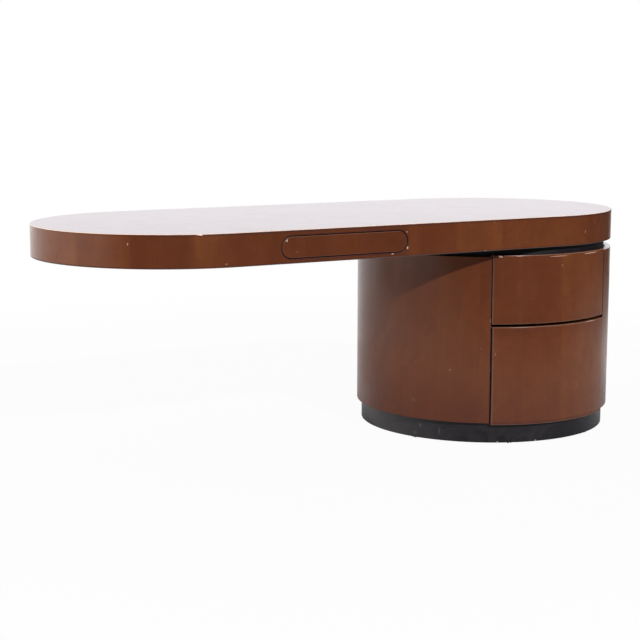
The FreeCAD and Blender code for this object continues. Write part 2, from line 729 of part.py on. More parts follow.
def cabinet():
    """The two sides and the back of the drawers' cabinet, between the decks."""
    z = (FLOOR_TOP, DECK_UNDERSIDE)
    for side, hand in HANDS:
        x = span(side, CABINET_INSIDE, CABINET_OUTSIDE, DRUM_X)
        node(board(f"cabinet_{hand}", x, (CABINET_FRONT, CABINET_BACK), z), f"cabinet_side_{hand}")
    x = (f"{DRUM_X} - {CABINET_OUTSIDE}", f"{DRUM_X} + {CABINET_OUTSIDE}")
    node(board("cabinet_rear", x, (CABINET_BACK, f"{CABINET_BACK} + carcass_board"), z), "cabinet_back")


def collar_and_plinth():
    """The black rings set back above and below the drum, the steel base plate and the floor glides."""
    collar = f"({DRUM_RADIUS} - collar_setback)"
    collar_guess = SIZES["drum_diameter"] / 2 - SIZES["collar_setback"]
    ring = round_board("collar_ring", collar, collar_guess, DRUM_TOP, "reveal_height",
                       f"{collar} - collar_wall", collar_guess - SIZES["collar_wall"])
    node(ring, "collar_ring")
    plinth = f"({DRUM_RADIUS} - plinth_setback)"
    plinth_guess = SIZES["drum_diameter"] / 2 - SIZES["plinth_setback"]
    ring = round_board("plinth_ring", plinth, plinth_guess, "glide_height", "plinth_height - glide_height",
                       f"{plinth} - plinth_wall", plinth_guess - SIZES["plinth_wall"])
    node(ring, "plinth_ring")
    plate_radius = f"{plinth} - plinth_wall - running_gap"
    plate_low = "(plinth_height - plate_thickness)"
    plate_guess = plinth_guess - SIZES["plinth_wall"]
    plate = round_board("plate_blank", plate_radius, plate_guess, plate_low, "plate_thickness")
    holes = bolt_holes("plate_hole", foot_bolt_places(), plate_low, "plinth_height")
    node(cut("plate", plate, *holes), "base_plate")
    glides = []
    for number in range(GLIDE_COUNT):
        turn = 360 * (number + 0.5) / GLIDE_COUNT
        reach = f"({plinth} - plinth_wall / 2)"
        x = f"{DRUM_X} + {reach} * cos({turn} deg)"
        y = f"{reach} * sin({turn} deg)"
        glides.append(rod(f"glide_{number + 1}", "glide_diameter / 2", "glide_height", x, y, "0"))
    node(group("glides", glides), "floor_glides")


# The steel frame


def beams():
    """Two box-section beams that run the length of the top and carry it from the posts."""
    x = ("beam_end_room - top_length / 2", f"{DRUM_X} + {POST_X} + flange_length / 2")
    holes = bolt_holes("beam_hole", top_bolt_places(), SOFFIT_TOP, f"{SOFFIT_TOP} + beam_wall")
    drill = group("beam_drill", holes)
    for side, hand in ((-1, "front"), (1, "rear")):
        y = span(side, BEAM_INNER, BEAM_OUTER)
        bar = board(f"{hand}_beam_bar", x, y, (SOFFIT_TOP, CORE_UNDERSIDE))
        y = span(side, f"{BEAM_INNER} + beam_wall", f"{BEAM_OUTER} - beam_wall")
        z = (f"{SOFFIT_TOP} + beam_wall", f"{CORE_UNDERSIDE} - beam_wall")
        hollow = board(f"{hand}_beam_hollow", (f"{x[0]} - cut_overrun", f"{x[1]} + cut_overrun"), y, z)
        node(cut(f"{hand}_beam", bar, hollow, drill), f"cantilever_beam_{hand}")


def posts():
    """A post each side of the drawers: a square tube welded to a foot below and a flange under the beams."""
    foot_top = f"({FLOOR_TOP} + foot_thickness)"
    flange_holes = bolt_holes("flange_drill", top_bolt_places(), TOP_UNDERSIDE, SOFFIT_TOP)
    foot_holes = bolt_holes("foot_drill", foot_bolt_places(), FLOOR_TOP, foot_top)
    drill = group("post_drill", flange_holes + foot_holes)
    for side, hand in HANDS:
        middle = f"({DRUM_X} + {side} * {POST_X})"
        half = "post_width / 2"
        x = (f"{middle} - {half}", f"{middle} + {half}")
        tube = board(f"{hand}_tube", x, (f"-{half}", half), (foot_top, TOP_UNDERSIDE))
        half = "(post_width / 2 - post_wall)"
        x = (f"{middle} - {half}", f"{middle} + {half}")
        hollow = board(f"{hand}_tube_hollow", x, (f"-{half}", half), (foot_top, TOP_UNDERSIDE))
        x = (f"{middle} - foot_length / 2", f"{middle} + foot_length / 2")
        foot = board(f"{hand}_foot", x, ("-foot_width / 2", "foot_width / 2"), (FLOOR_TOP, foot_top))
        x = (f"{middle} - flange_length / 2", f"{middle} + flange_length / 2")
        reach = f"({BEAM_OUTER} + flange_overhang)"
        flange = board(f"{hand}_flange", x, (f"-{reach}", reach), (TOP_UNDERSIDE, SOFFIT_TOP))
        welded = fuse(f"{hand}_welded", cut(f"{hand}_tube_wall", tube, hollow), foot, flange)
        node(cut(f"{hand}_post_drilled", welded, drill), f"{hand}_post")


def bolts():
    """The bolts and nuts that clamp the beams to the posts, and the posts to the base plate."""
    top_bolts, nuts, foot_bolts = [], [], []
    head_low = f"({TOP_UNDERSIDE} - bolt_head_height)"
    nut_low = f"({SOFFIT_TOP} + beam_wall)"
    bolt_top = f"({nut_low} + nut_height + bolt_end)"
    bores = bolt_holes("nut_bore", top_bolt_places(), nut_low, f"{nut_low} + nut_height")
    for number, (x, y) in enumerate(top_bolt_places(), start=1):
        head = hexagon(f"top_head_{number}", "bolt_head_width", "bolt_head_height", x, y, head_low)
        length = f"{bolt_top} - {TOP_UNDERSIDE}"
        shank = rod(f"top_shank_{number}", "bolt_diameter / 2", length, x, y, TOP_UNDERSIDE)
        top_bolts.append(fuse(f"top_bolt_{number}", head, shank))
        blank = hexagon(f"nut_blank_{number}", "bolt_head_width", "nut_height", x, y, nut_low)
        nuts.append(cut(f"nut_{number}", blank, bores[number - 1]))
    seat = f"({FLOOR_TOP} + foot_thickness)"
    tip = "(plinth_height - plate_thickness)"
    for number, (x, y) in enumerate(foot_bolt_places(), start=1):
        head = hexagon(f"foot_head_{number}", "bolt_head_width", "bolt_head_height", x, y, seat)
        shank = rod(f"foot_shank_{number}", "bolt_diameter / 2", f"{seat} - {tip}", x, y, tip)
        foot_bolts.append(fuse(f"foot_bolt_{number}", head, shank))
    node(group("top_bolt_set", top_bolts), "top_bolts")
    node(group("nut_set", nuts), "top_bolt_nuts")
    node(group("foot_bolt_set", foot_bolts), "foot_bolts")


def check():
    """Stops if any object failed, or a piece is empty or not a valid solid."""
    for item in doc.Objects:
        if "Invalid" in item.State or "Error" in item.State:
            raise RuntimeError(f"{item.Label} failed: {item.State}")
    for item in nodes:
        if item.Shape.isNull() or not item.Shape.isValid() or not item.Shape.Solids:
            raise RuntimeError(f"{item.Label} has no valid solid")


def export():
    """Writes each piece to a file under its label."""
    os.makedirs("parts", exist_ok=True)
    for item in nodes:
        item.Shape.exportStep(os.path.join("parts", f"{item.Label}.step"))
    print(f"{len(nodes)} pieces, {sum(len(item.Shape.Solids) for item in nodes)} solids")


top_skins()
edge_band()
rib_group()
pencil_bay()
touch_latch()
pencil_drawer()
drum_shell()
drum_decks()
cabinet()
collar_and_plinth()
beams()
posts()
bolts()
drum_drawer("upper", UPPER_FRONT_LOW, UPPER_FRONT_HIGH, f"{UPPER_FRONT_HIGH} - grip_height",
            UPPER_BOX_LOW, UPPER_BOX_HIGH, "0")
drum_drawer("lower", LOWER_FRONT_LOW, LOWER_FRONT_HIGH, f"{LOWER_FRONT_LOW} - cut_overrun",
            LOWER_BOX_LOW, LOWER_BOX_HIGH, "lower_drawer_ajar")
slide_set("upper", f"({UPPER_BOX_LOW} + {UPPER_BOX_HIGH}) / 2", "0")
slide_set("lower", f"({LOWER_BOX_LOW} + {LOWER_BOX_HIGH}) / 2", "lower_drawer_ajar")
doc.recompute()
check()
export()
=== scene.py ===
"""The looks of a cantilever desk: a long round-ended top on a drum of two drawers.

The desk is finished in stained, lacquered veneer. Lengths are in metres where nothing else is said, in the
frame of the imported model: +Z is up and the sitter's side is -Y.
"""
import json
import math

import bmesh
import bpy
from mathutils import Matrix, Vector

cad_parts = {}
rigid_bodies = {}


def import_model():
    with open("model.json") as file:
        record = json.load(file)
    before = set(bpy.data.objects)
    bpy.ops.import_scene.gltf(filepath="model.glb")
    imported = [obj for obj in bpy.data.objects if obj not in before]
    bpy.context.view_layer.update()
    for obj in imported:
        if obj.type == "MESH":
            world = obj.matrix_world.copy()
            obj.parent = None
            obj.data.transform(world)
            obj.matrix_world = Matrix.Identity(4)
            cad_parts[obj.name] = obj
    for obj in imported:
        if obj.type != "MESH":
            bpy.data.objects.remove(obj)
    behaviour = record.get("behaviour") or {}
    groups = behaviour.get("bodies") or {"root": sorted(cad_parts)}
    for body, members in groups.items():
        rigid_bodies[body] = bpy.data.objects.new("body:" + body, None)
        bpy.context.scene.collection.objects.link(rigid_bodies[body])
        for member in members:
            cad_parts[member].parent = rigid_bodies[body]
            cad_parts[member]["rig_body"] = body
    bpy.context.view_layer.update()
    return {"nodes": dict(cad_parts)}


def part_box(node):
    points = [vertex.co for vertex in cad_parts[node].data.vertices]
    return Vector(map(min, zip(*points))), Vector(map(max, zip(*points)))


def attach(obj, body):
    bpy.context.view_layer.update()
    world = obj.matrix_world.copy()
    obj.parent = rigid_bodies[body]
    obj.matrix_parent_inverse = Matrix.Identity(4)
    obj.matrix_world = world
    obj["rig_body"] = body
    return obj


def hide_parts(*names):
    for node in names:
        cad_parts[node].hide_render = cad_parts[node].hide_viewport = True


for leftover in list(bpy.data.objects):
    bpy.data.objects.remove(leftover)
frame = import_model()

# A hair's breadth, by which round pieces stay inside their solids.
HAIR = 0.00001

# Sizes of the visible pieces: most are read from the solids that they stand for.
BAND_LOW, BAND_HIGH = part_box("edge_band")
VENEER_LOW, VENEER_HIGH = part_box("top_veneer")
SHELL_LOW, SHELL_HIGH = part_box("drum_shell")
PENCIL_LOW, PENCIL_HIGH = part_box("pencil_front")
TOP_RADIUS = BAND_HIGH.y - HAIR
BEND_X = BAND_HIGH.x - BAND_HIGH.y
BAND_THICKNESS = PENCIL_HIGH.y - PENCIL_LOW.y
DRUM_RADIUS = SHELL_HIGH.y - HAIR
DRUM_X = (SHELL_LOW.x + SHELL_HIGH.x) / 2
SHELL_THICKNESS = 0.018
OPENING_HALF = 0.2295
FRONT_HALF = (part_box("upper_front")[1].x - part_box("upper_front")[0].x) / 2
LOWER_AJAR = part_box("upper_front")[0].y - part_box("lower_front")[0].y
GRIP_DEPTH = 0.010
GRIP_HEIGHT = 0.020
PENCIL_GAP = 0.002
PENCIL_X = (PENCIL_LOW.x + PENCIL_HIGH.x) / 2
PENCIL_Z = (PENCIL_LOW.z + PENCIL_HIGH.z) / 2
PENCIL_RADIUS = (PENCIL_HIGH.z - PENCIL_LOW.z) / 2
PENCIL_STRAIGHT_HALF = 0.1815
RING_WALL = 0.016

# How far the edges are eased.
VENEER_ROUND = 0.0014
BAND_ROUND = 0.0020
OPENING_ROUND = 0.0015
FRONT_ROUND = 0.0035
FRONT_CORNER = 0.005
PENCIL_ROUND = 0.0028
SHELL_ROUND = 0.001
RING_ROUND = 0.0015
SMALL_ROUND = 0.0004
BOARD_ROUND = 0.0008

# Directions, steps of arcs, turns along a quarter round in degrees, and limits of what counts as the same.
UP = Vector((0, 0, 1))
UPRIGHT = Matrix.Rotation(math.radians(90), 4, "X")
STEP = math.radians(1)
FEWEST_STEPS = 8
QUARTER_TURNS = (0, 30, 60, 90)
SHARP = math.radians(40)
SQUARE_ON = 0.99
SAME_PLACE = 1e-6


# Meshes


def new_mesh():
    """An empty mesh whose faces carry a mark for eased edges, where wear and a painted highlight are laid."""
    bm = bmesh.new()
    bm.faces.layers.float.new("edge")
    return bm


def arc(bm, start, centre, angle):
    """Spins a point about an upright axis, and returns the first and last points and the edges."""
    known = set(bm.edges)
    first = bm.verts.new(start)
    steps = max(FEWEST_STEPS, round(abs(angle) / STEP))
    spun = bmesh.ops.spin(bm, geom=[first], cent=centre, axis=UP, angle=angle, steps=steps, use_merge=False)
    last = spun["geom_last"][0]
    return first, last, [edge for edge in bm.edges if edge not in known]


def stadium(bm, half, radius, place):
    """A closed line of two half circles and two straight runs, put in place, and its edges."""
    known = set(bm.verts)
    right_first, right_last, right = arc(bm, (half, -radius, 0), (half, 0, 0), math.pi)
    left_first, left_last, left = arc(bm, (-half, radius, 0), (-half, 0, 0), math.pi)
    runs = [bm.edges.new((right_last, left_first)), bm.edges.new((left_last, right_first))]
    bmesh.ops.transform(bm, matrix=place, verts=[vert for vert in bm.verts if vert not in known])
    return right + left + runs


def bent_line(bm, radius, half_width, z, out, whole_round):
    """An arc of the drum between two upright planes, across the drawers or the long way round the back."""
    front = -math.sqrt(radius ** 2 - half_width ** 2)
    opening = 2 * math.asin(half_width / radius)
    side, angle = (half_width, 2 * math.pi - opening) if whole_round else (-half_width, opening)
    return arc(bm, (DRUM_X + side, front - out, z), (DRUM_X, -out, z), angle)[2]


def bridge(bm, *lines):
    """Faces between neighbouring lines of edges."""
    faces = []
    for near, far in zip(lines, lines[1:]):
        faces += bmesh.ops.bridge_loops(bm, edges=near + far)["faces"]
    return faces


def raise_faces(bm, faces, height, keep=True):
    """Extrudes faces straight up or down, keeps the old ones or not, and returns those at the far end."""
    made = bmesh.ops.extrude_face_region(bm, geom=faces, use_keep_orig=keep)["geom"]
    verts = [item for item in made if isinstance(item, bmesh.types.BMVert)]
    bmesh.ops.translate(bm, verts=verts, vec=(0, 0, height))
    raised = [item for item in made if isinstance(item, bmesh.types.BMFace)]
    if not keep:
        left = [face for face in faces if face.is_valid]
        bmesh.ops.delete(bm, geom=left, context="FACES_ONLY")
    return raised


def rounding(turn, size):
    """How far a rounded edge has drawn back from the side and from the front, at a turn in degrees."""
    angle = math.radians(turn)
    return size * (1 - math.sin(angle)), size * (1 - math.cos(angle))


def sharp_edges(bm, wanted=None):
    """The edges between faces that meet at a sharp angle, or those of them whose middle is wanted."""
    found = []
    for edge in bm.edges:
        if len(edge.link_faces) == 2 and edge.calc_face_angle() > SHARP:
            middle = (edge.verts[0].co + edge.verts[1].co) / 2
            if wanted is None or wanted(middle):
                found.append(edge)
    return found


def ease(bm, edges, size, segments):
    """Rounds edges over and marks the new faces as edge."""
    edge_mark = bm.faces.layers.float["edge"]
    made = bmesh.ops.bevel(bm, geom=edges, offset=size, offset_type="OFFSET", segments=segments,
                           profile=0.5, affect="EDGES", material=-1, clamp_overlap=True)
    for face in made["faces"]:
        face[edge_mark] = 1


def clean(bm):
    """Merges doubled points and turns all faces outwards."""
    bmesh.ops.remove_doubles(bm, verts=bm.verts, dist=SAME_PLACE)
    bmesh.ops.recalc_face_normals(bm, faces=bm.faces)


def drum_distance(point, out):
    """How far a point is from the drum's axis."""
    return math.hypot(point.x - DRUM_X, point.y + out)


def ease_outside(bm, radius, size, segments, out=0.0):
    """Rounds over the edges that are further than a radius from the drum's axis."""
    ease(bm, sharp_edges(bm, lambda middle: drum_distance(middle, out) > radius), size, segments)


def new_object(name, bm, material):
    """Makes a mesh an object in the scene."""
    mesh = bpy.data.meshes.new(name)
    bm.to_mesh(mesh)
    bm.free()
    mesh.materials.append(material)
    made = bpy.data.objects.new(name, mesh)
    bpy.context.scene.collection.objects.link(made)
    return made


def finish_piece(name, bm, node, material):
    """Makes the mesh an object that stands for a CAD node and rides on its body."""
    bmesh.ops.dissolve_degenerate(bm, dist=SAME_PLACE, edges=bm.edges)
    bmesh.ops.recalc_face_normals(bm, faces=bm.faces)
    piece = new_object(name, bm, material)
    piece.data.shade_smooth()
    piece.data.set_sharp_from_angle(angle=SHARP)
    piece.modifiers.new("even_shading", "WEIGHTED_NORMAL").keep_sharp = True
    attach(piece, frame["nodes"][node]["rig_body"])
    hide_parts(node)


# Pieces


def top_skin():
    """The veneer on the top, with its upper edge rounded over."""
    bm = new_mesh()
    outline = stadium(bm, BEND_X, TOP_RADIUS, Matrix.Translation((0, 0, VENEER_LOW.z)))
    sheet = bmesh.ops.contextual_create(bm, geom=outline)["faces"]
    raise_faces(bm, sheet, VENEER_HIGH.z - VENEER_LOW.z)
    clean(bm)
    middle_height = (VENEER_LOW.z + VENEER_HIGH.z) / 2
    ease(bm, sharp_edges(bm, lambda middle: middle.z > middle_height), VENEER_ROUND, 4)
    return bm


def bent_band():
    """The band round the top, with the round-ended opening of the pencil drawer in its straight front."""
    bm = new_mesh()
    floor = Matrix.Translation((0, 0, BAND_LOW.z))
    inside = TOP_RADIUS - BAND_THICKNESS
    ring = bridge(bm, stadium(bm, BEND_X, TOP_RADIUS, floor), stadium(bm, BEND_X, inside, floor))
    raise_faces(bm, ring, BAND_HIGH.z - BAND_LOW.z)
    clean(bm)
    ease(bm, sharp_edges(bm, lambda middle: is_outer_band(middle) and middle.z < PENCIL_Z), BAND_ROUND, 3)
    ease(bm, sharp_edges(bm, lambda middle: is_outer_band(middle) and middle.z > PENCIL_Z), SMALL_ROUND, 2)
    walls = [face for face in bm.faces if is_straight_front(face)]
    walls.sort(key=lambda face: face.calc_center_median().y)
    frames = [list(face.edges) for face in walls]
    bmesh.ops.delete(bm, geom=walls, context="FACES_ONLY")
    hole = PENCIL_RADIUS + PENCIL_GAP
    rims = []
    for turn in QUARTER_TURNS:
        grow, depth = rounding(turn, OPENING_ROUND)
        rims.append(pencil_line(bm, hole + grow, BAND_LOW.y + depth))
    back_rim = pencil_line(bm, hole, BAND_LOW.y + BAND_THICKNESS)
    bridge(bm, *rims, back_rim)
    bmesh.ops.triangle_fill(bm, edges=frames[0] + rims[0], use_beauty=True)
    bmesh.ops.triangle_fill(bm, edges=frames[1] + back_rim, use_beauty=True)
    clean(bm)
    return bm


def is_outer_band(middle):
    """Whether the middle of an edge is on the outside of the band."""
    beyond = max(abs(middle.x) - BEND_X, 0)
    return math.hypot(beyond, middle.y) > TOP_RADIUS - BAND_THICKNESS / 2


def is_straight_front(face):
    """Whether a face is one of the two walls of the band's straight front."""
    at_front = abs(face.normal.y) > SQUARE_ON and face.calc_center_median().y < 0
    half_a_wall = BEND_X * (BAND_HIGH.z - BAND_LOW.z)
    return at_front and face.calc_area() > half_a_wall


def pencil_line(bm, radius, y):
    """The pencil drawer's round-ended outline, upright at y."""
    return stadium(bm, PENCIL_STRAIGHT_HALF, radius, Matrix.Translation((PENCIL_X, y, PENCIL_Z)) @ UPRIGHT)


def pencil_face():
    """The pencil drawer's front, a round-ended board with its front edge rounded over."""
    bm = new_mesh()
    edge_mark = bm.faces.layers.float["edge"]
    rims = []
    for turn in reversed(QUARTER_TURNS):
        shrink, depth = rounding(turn, PENCIL_ROUND)
        rims.append(pencil_line(bm, PENCIL_RADIUS - shrink, PENCIL_LOW.y + depth))
    back_rim = pencil_line(bm, PENCIL_RADIUS, PENCIL_HIGH.y)
    for face in bridge(bm, *rims):
        face[edge_mark] = 1
    bridge(bm, rims[0], back_rim)
    for rim in (rims[-1], back_rim):
        for face in bmesh.ops.contextual_create(bm, geom=rim)["faces"]:
            face[edge_mark] = 0
    clean(bm)
    return bm


def drum_wall():
    """The bent wall of the drum, open across the drawers."""
    bm = new_mesh()
    inside = DRUM_RADIUS - SHELL_THICKNESS
    outer = bent_line(bm, DRUM_RADIUS, OPENING_HALF, SHELL_LOW.z, 0, True)
    inner = bent_line(bm, inside, OPENING_HALF, SHELL_LOW.z, 0, True)
    raise_faces(bm, bridge(bm, outer, inner), SHELL_HIGH.z - SHELL_LOW.z)
    clean(bm)
    ease_outside(bm, DRUM_RADIUS - SHELL_THICKNESS / 2, SHELL_ROUND, 3)
    return bm


def drawer_face(node, out, grip_at_top):
    """A bent drawer front with rounded edges and a grip cut into its back."""
    low, high = (corner.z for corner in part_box(node))
    start, sign = (low, 1) if grip_at_top else (high, -1)
    bm = new_mesh()
    radii = (DRUM_RADIUS, DRUM_RADIUS - GRIP_DEPTH, DRUM_RADIUS - SHELL_THICKNESS)
    lines = [bent_line(bm, radius, FRONT_HALF, start, out, False) for radius in radii]
    raised = raise_faces(bm, bridge(bm, *lines), sign * (high - low - GRIP_HEIGHT))
    lip = [face for face in raised if drum_distance(face.calc_center_median(), out) > radii[1]]
    raise_faces(bm, lip, sign * GRIP_HEIGHT, keep=False)
    clean(bm)
    corners = [edge for edge in sharp_edges(bm) if is_corner(edge, high)]
    ease(bm, corners, FRONT_CORNER, 5)
    ease_outside(bm, (radii[0] + radii[1]) / 2, FRONT_ROUND, 4, out)
    return bm


def is_corner(edge, high):
    """Whether an edge is an upper corner of a drawer front, seen from the front."""
    ends = [vert.co for vert in edge.verts]
    at_top = all(abs(end.z - high) < SMALL_ROUND for end in ends)
    at_side = all(abs(abs(end.x - DRUM_X) - FRONT_HALF) < SMALL_ROUND for end in ends)
    return at_top and at_side


def black_ring(node):
    """A black ring above or below the drum."""
    low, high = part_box(node)
    radius = high.x - DRUM_X
    inside = radius - RING_WALL
    bm = new_mesh()
    corners = [(radius, low.z), (radius, high.z), (inside, high.z), (inside, low.z)]
    verts = [bm.verts.new((DRUM_X + reach, 0, z)) for reach, z in corners]
    section = [bm.edges.new((near, far)) for near, far in zip(verts, verts[1:] + verts[:1])]
    bmesh.ops.spin(bm, geom=verts + section, cent=(DRUM_X, 0, 0), axis=UP, angle=2 * math.pi,
                   steps=round(2 * math.pi / STEP), use_merge=True)
    clean(bm)
    ease_outside(bm, radius - RING_WALL / 2, RING_ROUND, 3)
    return bm


# Shader nodes

# The parts of a noise's range that show as streaks and figure, pores, and smears.
NOISE_RANGE = (0.3, 0.7)
PORE_RANGE = (0.6, 0.74)
SMEAR_RANGE = (0.35, 0.7)
# How many times finer than the streaks the pores and the broad figure are, across and along the grain.
PORE_FINENESS = (5, 5, 9)
FIGURE_FINENESS = (0.035, 0.035, 0.5)
# Half of the width of a joint between leaves of veneer, and how far apart their grain is taken from.
HALF_JOINT = 0.0004
LEAF_SHIFT = 3
# Patches of rubbed finish: how many of each kind lie in a metre, and how much each counts.
COARSE_WEAR, COARSE_WEIGHT = 14, 0.55
FINE_WEAR, FINE_WEIGHT = 170, 0.45
# How high wear has to rise to show at all, how much a finish's wear lowers that, and where it is full.
WEAR_LIMIT = 0.72
WEAR_EASE = 0.3
WEAR_FULL = 0.08
# The ragged rims of chips and of painted glints, the soft rims of nicks and the ripples of lacquer.
SPOT_FINENESS = 420
SPOT_RAGGED = 1.6
SPOT_RIM = (1.0, 0.7)
NICK_RIM = 0.0005
RIPPLE_FINENESS = 240


def fill(tree, socket, value):
    """Links an input to another node's socket, or sets it to a constant."""
    if isinstance(value, bpy.types.NodeSocket):
        tree.links.new(value, socket)
    else:
        socket.default_value = value


def add(tree, kind, inputs=None, **settings):
    """A shader node with its settings made and its inputs filled."""
    made = tree.nodes.new(kind)
    for name, value in settings.items():
        setattr(made, name, value)
    for key, value in (inputs or {}).items():
        fill(tree, made.inputs[key], value)
    return made


def sum_of(tree, operation, *values):
    """One step of arithmetic."""
    return add(tree, "ShaderNodeMath", dict(enumerate(values)), operation=operation).outputs[0]


def times(tree, first, second):
    """One value times another."""
    return sum_of(tree, "MULTIPLY", first, second)


def added(tree, value, weight, base):
    """A base and, on top of it, a value times a weight."""
    return sum_of(tree, "MULTIPLY_ADD", value, weight, base)


def vector_of(tree, operation, *values):
    """One step of vector arithmetic."""
    made = add(tree, "ShaderNodeVectorMath", dict(enumerate(values)), operation=operation)
    return made.outputs["Value" if operation in ("LENGTH", "DOT_PRODUCT") else "Vector"]


def scaled(tree, vector, factor):
    """A vector times a number."""
    return vector_of(tree, "MULTIPLY", vector, (factor, factor, factor))


def split(tree, vector):
    """The X, Y and Z of a vector."""
    return add(tree, "ShaderNodeSeparateXYZ", {0: vector}).outputs


def joined(tree, x, y, z=0.0):
    """A vector of three values."""
    return add(tree, "ShaderNodeCombineXYZ", {0: x, 1: y, 2: z}).outputs[0]


def weighed(tree, first, *others):
    """The sum of values that are each paired with a weight."""
    total = times(tree, *first)
    for value, weight in others:
        total = added(tree, value, weight, total)
    return total


def greatest(tree, first, *others):
    """The greatest of some values."""
    for value in others:
        first = sum_of(tree, "MAXIMUM", first, value)
    return first


def spread(tree, value, low, high, to_low=0.0, to_high=1.0):
    """Stretches part of a value's range, softly at both ends."""
    inputs = {"Value": value, "From Min": low, "From Max": high, "To Min": to_low, "To Max": to_high}
    return add(tree, "ShaderNodeMapRange", inputs, interpolation_type="SMOOTHSTEP").outputs["Result"]


def mixed(tree, share, first, second, blend="MIX"):
    """One colour laid over another."""
    made = add(tree, "ShaderNodeMix", {0: share, 6: first, 7: second}, data_type="RGBA", blend_type=blend)
    return made.outputs[2]


def noise(tree, vector, detail=2.0, roughness=0.5, distortion=0.0):
    """A soft random pattern with features about one unit across."""
    inputs = {"Vector": vector, "Scale": 1.0, "Detail": detail, "Roughness": roughness,
              "Distortion": distortion}
    return add(tree, "ShaderNodeTexNoise", inputs).outputs


def shared_effect(name, vectors, values, results, result_vectors=()):
    """A new node group's tree, and the sockets inside it of its inputs and of its results."""
    tree = bpy.data.node_groups.new(name, "ShaderNodeTree")
    sockets = [("INPUT", "Vector", vectors), ("INPUT", "Float", values),
               ("OUTPUT", "Float", results), ("OUTPUT", "Vector", result_vectors)]
    for way, kind, names in sockets:
        for socket in names:
            made = tree.interface.new_socket(name=socket, in_out=way, socket_type=f"NodeSocket{kind}")
            if names is values:
                made.default_value = values[socket]
    entry = tree.nodes.new("NodeGroupInput").outputs
    result = tree.nodes.new("NodeGroupOutput").inputs
    return tree, entry, result


def use(tree, effect, **inputs):
    """A shared effect placed in a material; underscores in the names stand for spaces."""
    made = tree.nodes.new("ShaderNodeGroup")
    made.node_tree = effect
    for key, value in inputs.items():
        fill(tree, made.inputs[key.replace("_", " ")], value)
    return made.outputs


def wood_grain():
    """Streaks, pores and broad figure of wood whose grain runs along Z."""
    sizes = {"Streak Width": 0.004, "Streak Length": 0.25}
    tree, entry, result = shared_effect("wood_grain", ["Vector"], sizes, ["Streaks", "Pores", "Figure"])
    width, length = entry["Streak Width"], entry["Streak Length"]
    fine = vector_of(tree, "DIVIDE", entry["Vector"], joined(tree, width, width, length))
    streaks = noise(tree, fine, detail=4, roughness=0.6, distortion=0.25)[0]
    tree.links.new(spread(tree, streaks, *NOISE_RANGE), result["Streaks"])
    pores = noise(tree, vector_of(tree, "MULTIPLY", fine, PORE_FINENESS), detail=1)[0]
    tree.links.new(spread(tree, pores, *PORE_RANGE), result["Pores"])
    broad = vector_of(tree, "MULTIPLY", fine, FIGURE_FINENESS)
    figure = noise(tree, broad, detail=3, roughness=0.55, distortion=0.5)[0]
    tree.links.new(spread(tree, figure, *NOISE_RANGE), result["Figure"])
    return tree


def side_length():
    """The length along an upright side that is straight in the middle and round at the ends."""
    tree, entry, result = shared_effect("side_length", ["Vector"], {"Straight Half": 0.0, "Radius": 0.4},
                                        ["Along"])
    parts = split(tree, entry["Vector"])
    less = times(tree, entry["Straight Half"], -1.0)
    straight = sum_of(tree, "MINIMUM", sum_of(tree, "MAXIMUM", parts["X"], less), entry["Straight Half"])
    beyond = sum_of(tree, "SUBTRACT", parts["X"], straight)
    turn = sum_of(tree, "ARCTAN2", beyond, times(tree, parts["Y"], -1.0))
    along = added(tree, turn, entry["Radius"], straight)
    tree.links.new(along, result["Along"])
    return tree


def veneer_leaves():
    """Leaves of veneer side by side: the place among them, their joints, and a shift of the grain of each."""
    tree, entry, result = shared_effect("veneer_leaves", [], {"Along": 0.0, "Leaf Width": 0.15, "Start": 0.0},
                                        ["Place", "Joint"], ["Shift"])
    from_start = sum_of(tree, "SUBTRACT", entry["Along"], entry["Start"])
    place = sum_of(tree, "DIVIDE", from_start, entry["Leaf Width"])
    tree.links.new(place, result["Place"])
    leaf = sum_of(tree, "FLOOR", place)
    chance = add(tree, "ShaderNodeTexWhiteNoise", {"W": leaf}, noise_dimensions="1D").outputs
    from_joint = sum_of(tree, "PINGPONG", place, 0.5)
    half_joint = sum_of(tree, "DIVIDE", HALF_JOINT, entry["Leaf Width"])
    joint = sum_of(tree, "LESS_THAN", from_joint, half_joint)
    tree.links.new(joint, result["Joint"])
    tree.links.new(scaled(tree, chance["Color"], LEAF_SHIFT), result["Shift"])
    return tree


def edge_wear():
    """Where the finish has rubbed through along eased edges."""
    tree, entry, result = shared_effect("edge_wear", ["Vector"], {"Edge": 0.0, "Amount": 0.3}, ["Wear"])
    coarse = noise(tree, scaled(tree, entry["Vector"], COARSE_WEAR), detail=2)[0]
    fine = noise(tree, scaled(tree, entry["Vector"], FINE_WEAR), detail=3, roughness=0.7)[0]
    both = weighed(tree, (fine, FINE_WEIGHT), (coarse, COARSE_WEIGHT))
    limit = sum_of(tree, "SUBTRACT", WEAR_LIMIT, times(tree, entry["Amount"], WEAR_EASE))
    over = sum_of(tree, "SUBTRACT", both, limit)
    wear = times(tree, spread(tree, over, 0.0, WEAR_FULL), entry["Edge"])
    tree.links.new(wear, result["Wear"])
    return tree


def chip_or_glint():
    """One small mark, ragged at its rim, for chips and for painted glints and highlights."""
    tree, entry, result = shared_effect("chip_or_glint", ["Vector", "Place", "Reach"], {}, ["Chip"])
    ragged = noise(tree, scaled(tree, entry["Vector"], SPOT_FINENESS), detail=2)[1]
    jitter = scaled(tree, vector_of(tree, "SUBTRACT", ragged, (0.5, 0.5, 0.5)), SPOT_RAGGED)
    away = vector_of(tree, "SUBTRACT", entry["Vector"], entry["Place"])
    away = vector_of(tree, "DIVIDE", away, entry["Reach"])
    distance = vector_of(tree, "LENGTH", vector_of(tree, "ADD", away, jitter))
    tree.links.new(spread(tree, distance, *SPOT_RIM), result["Chip"])
    return tree


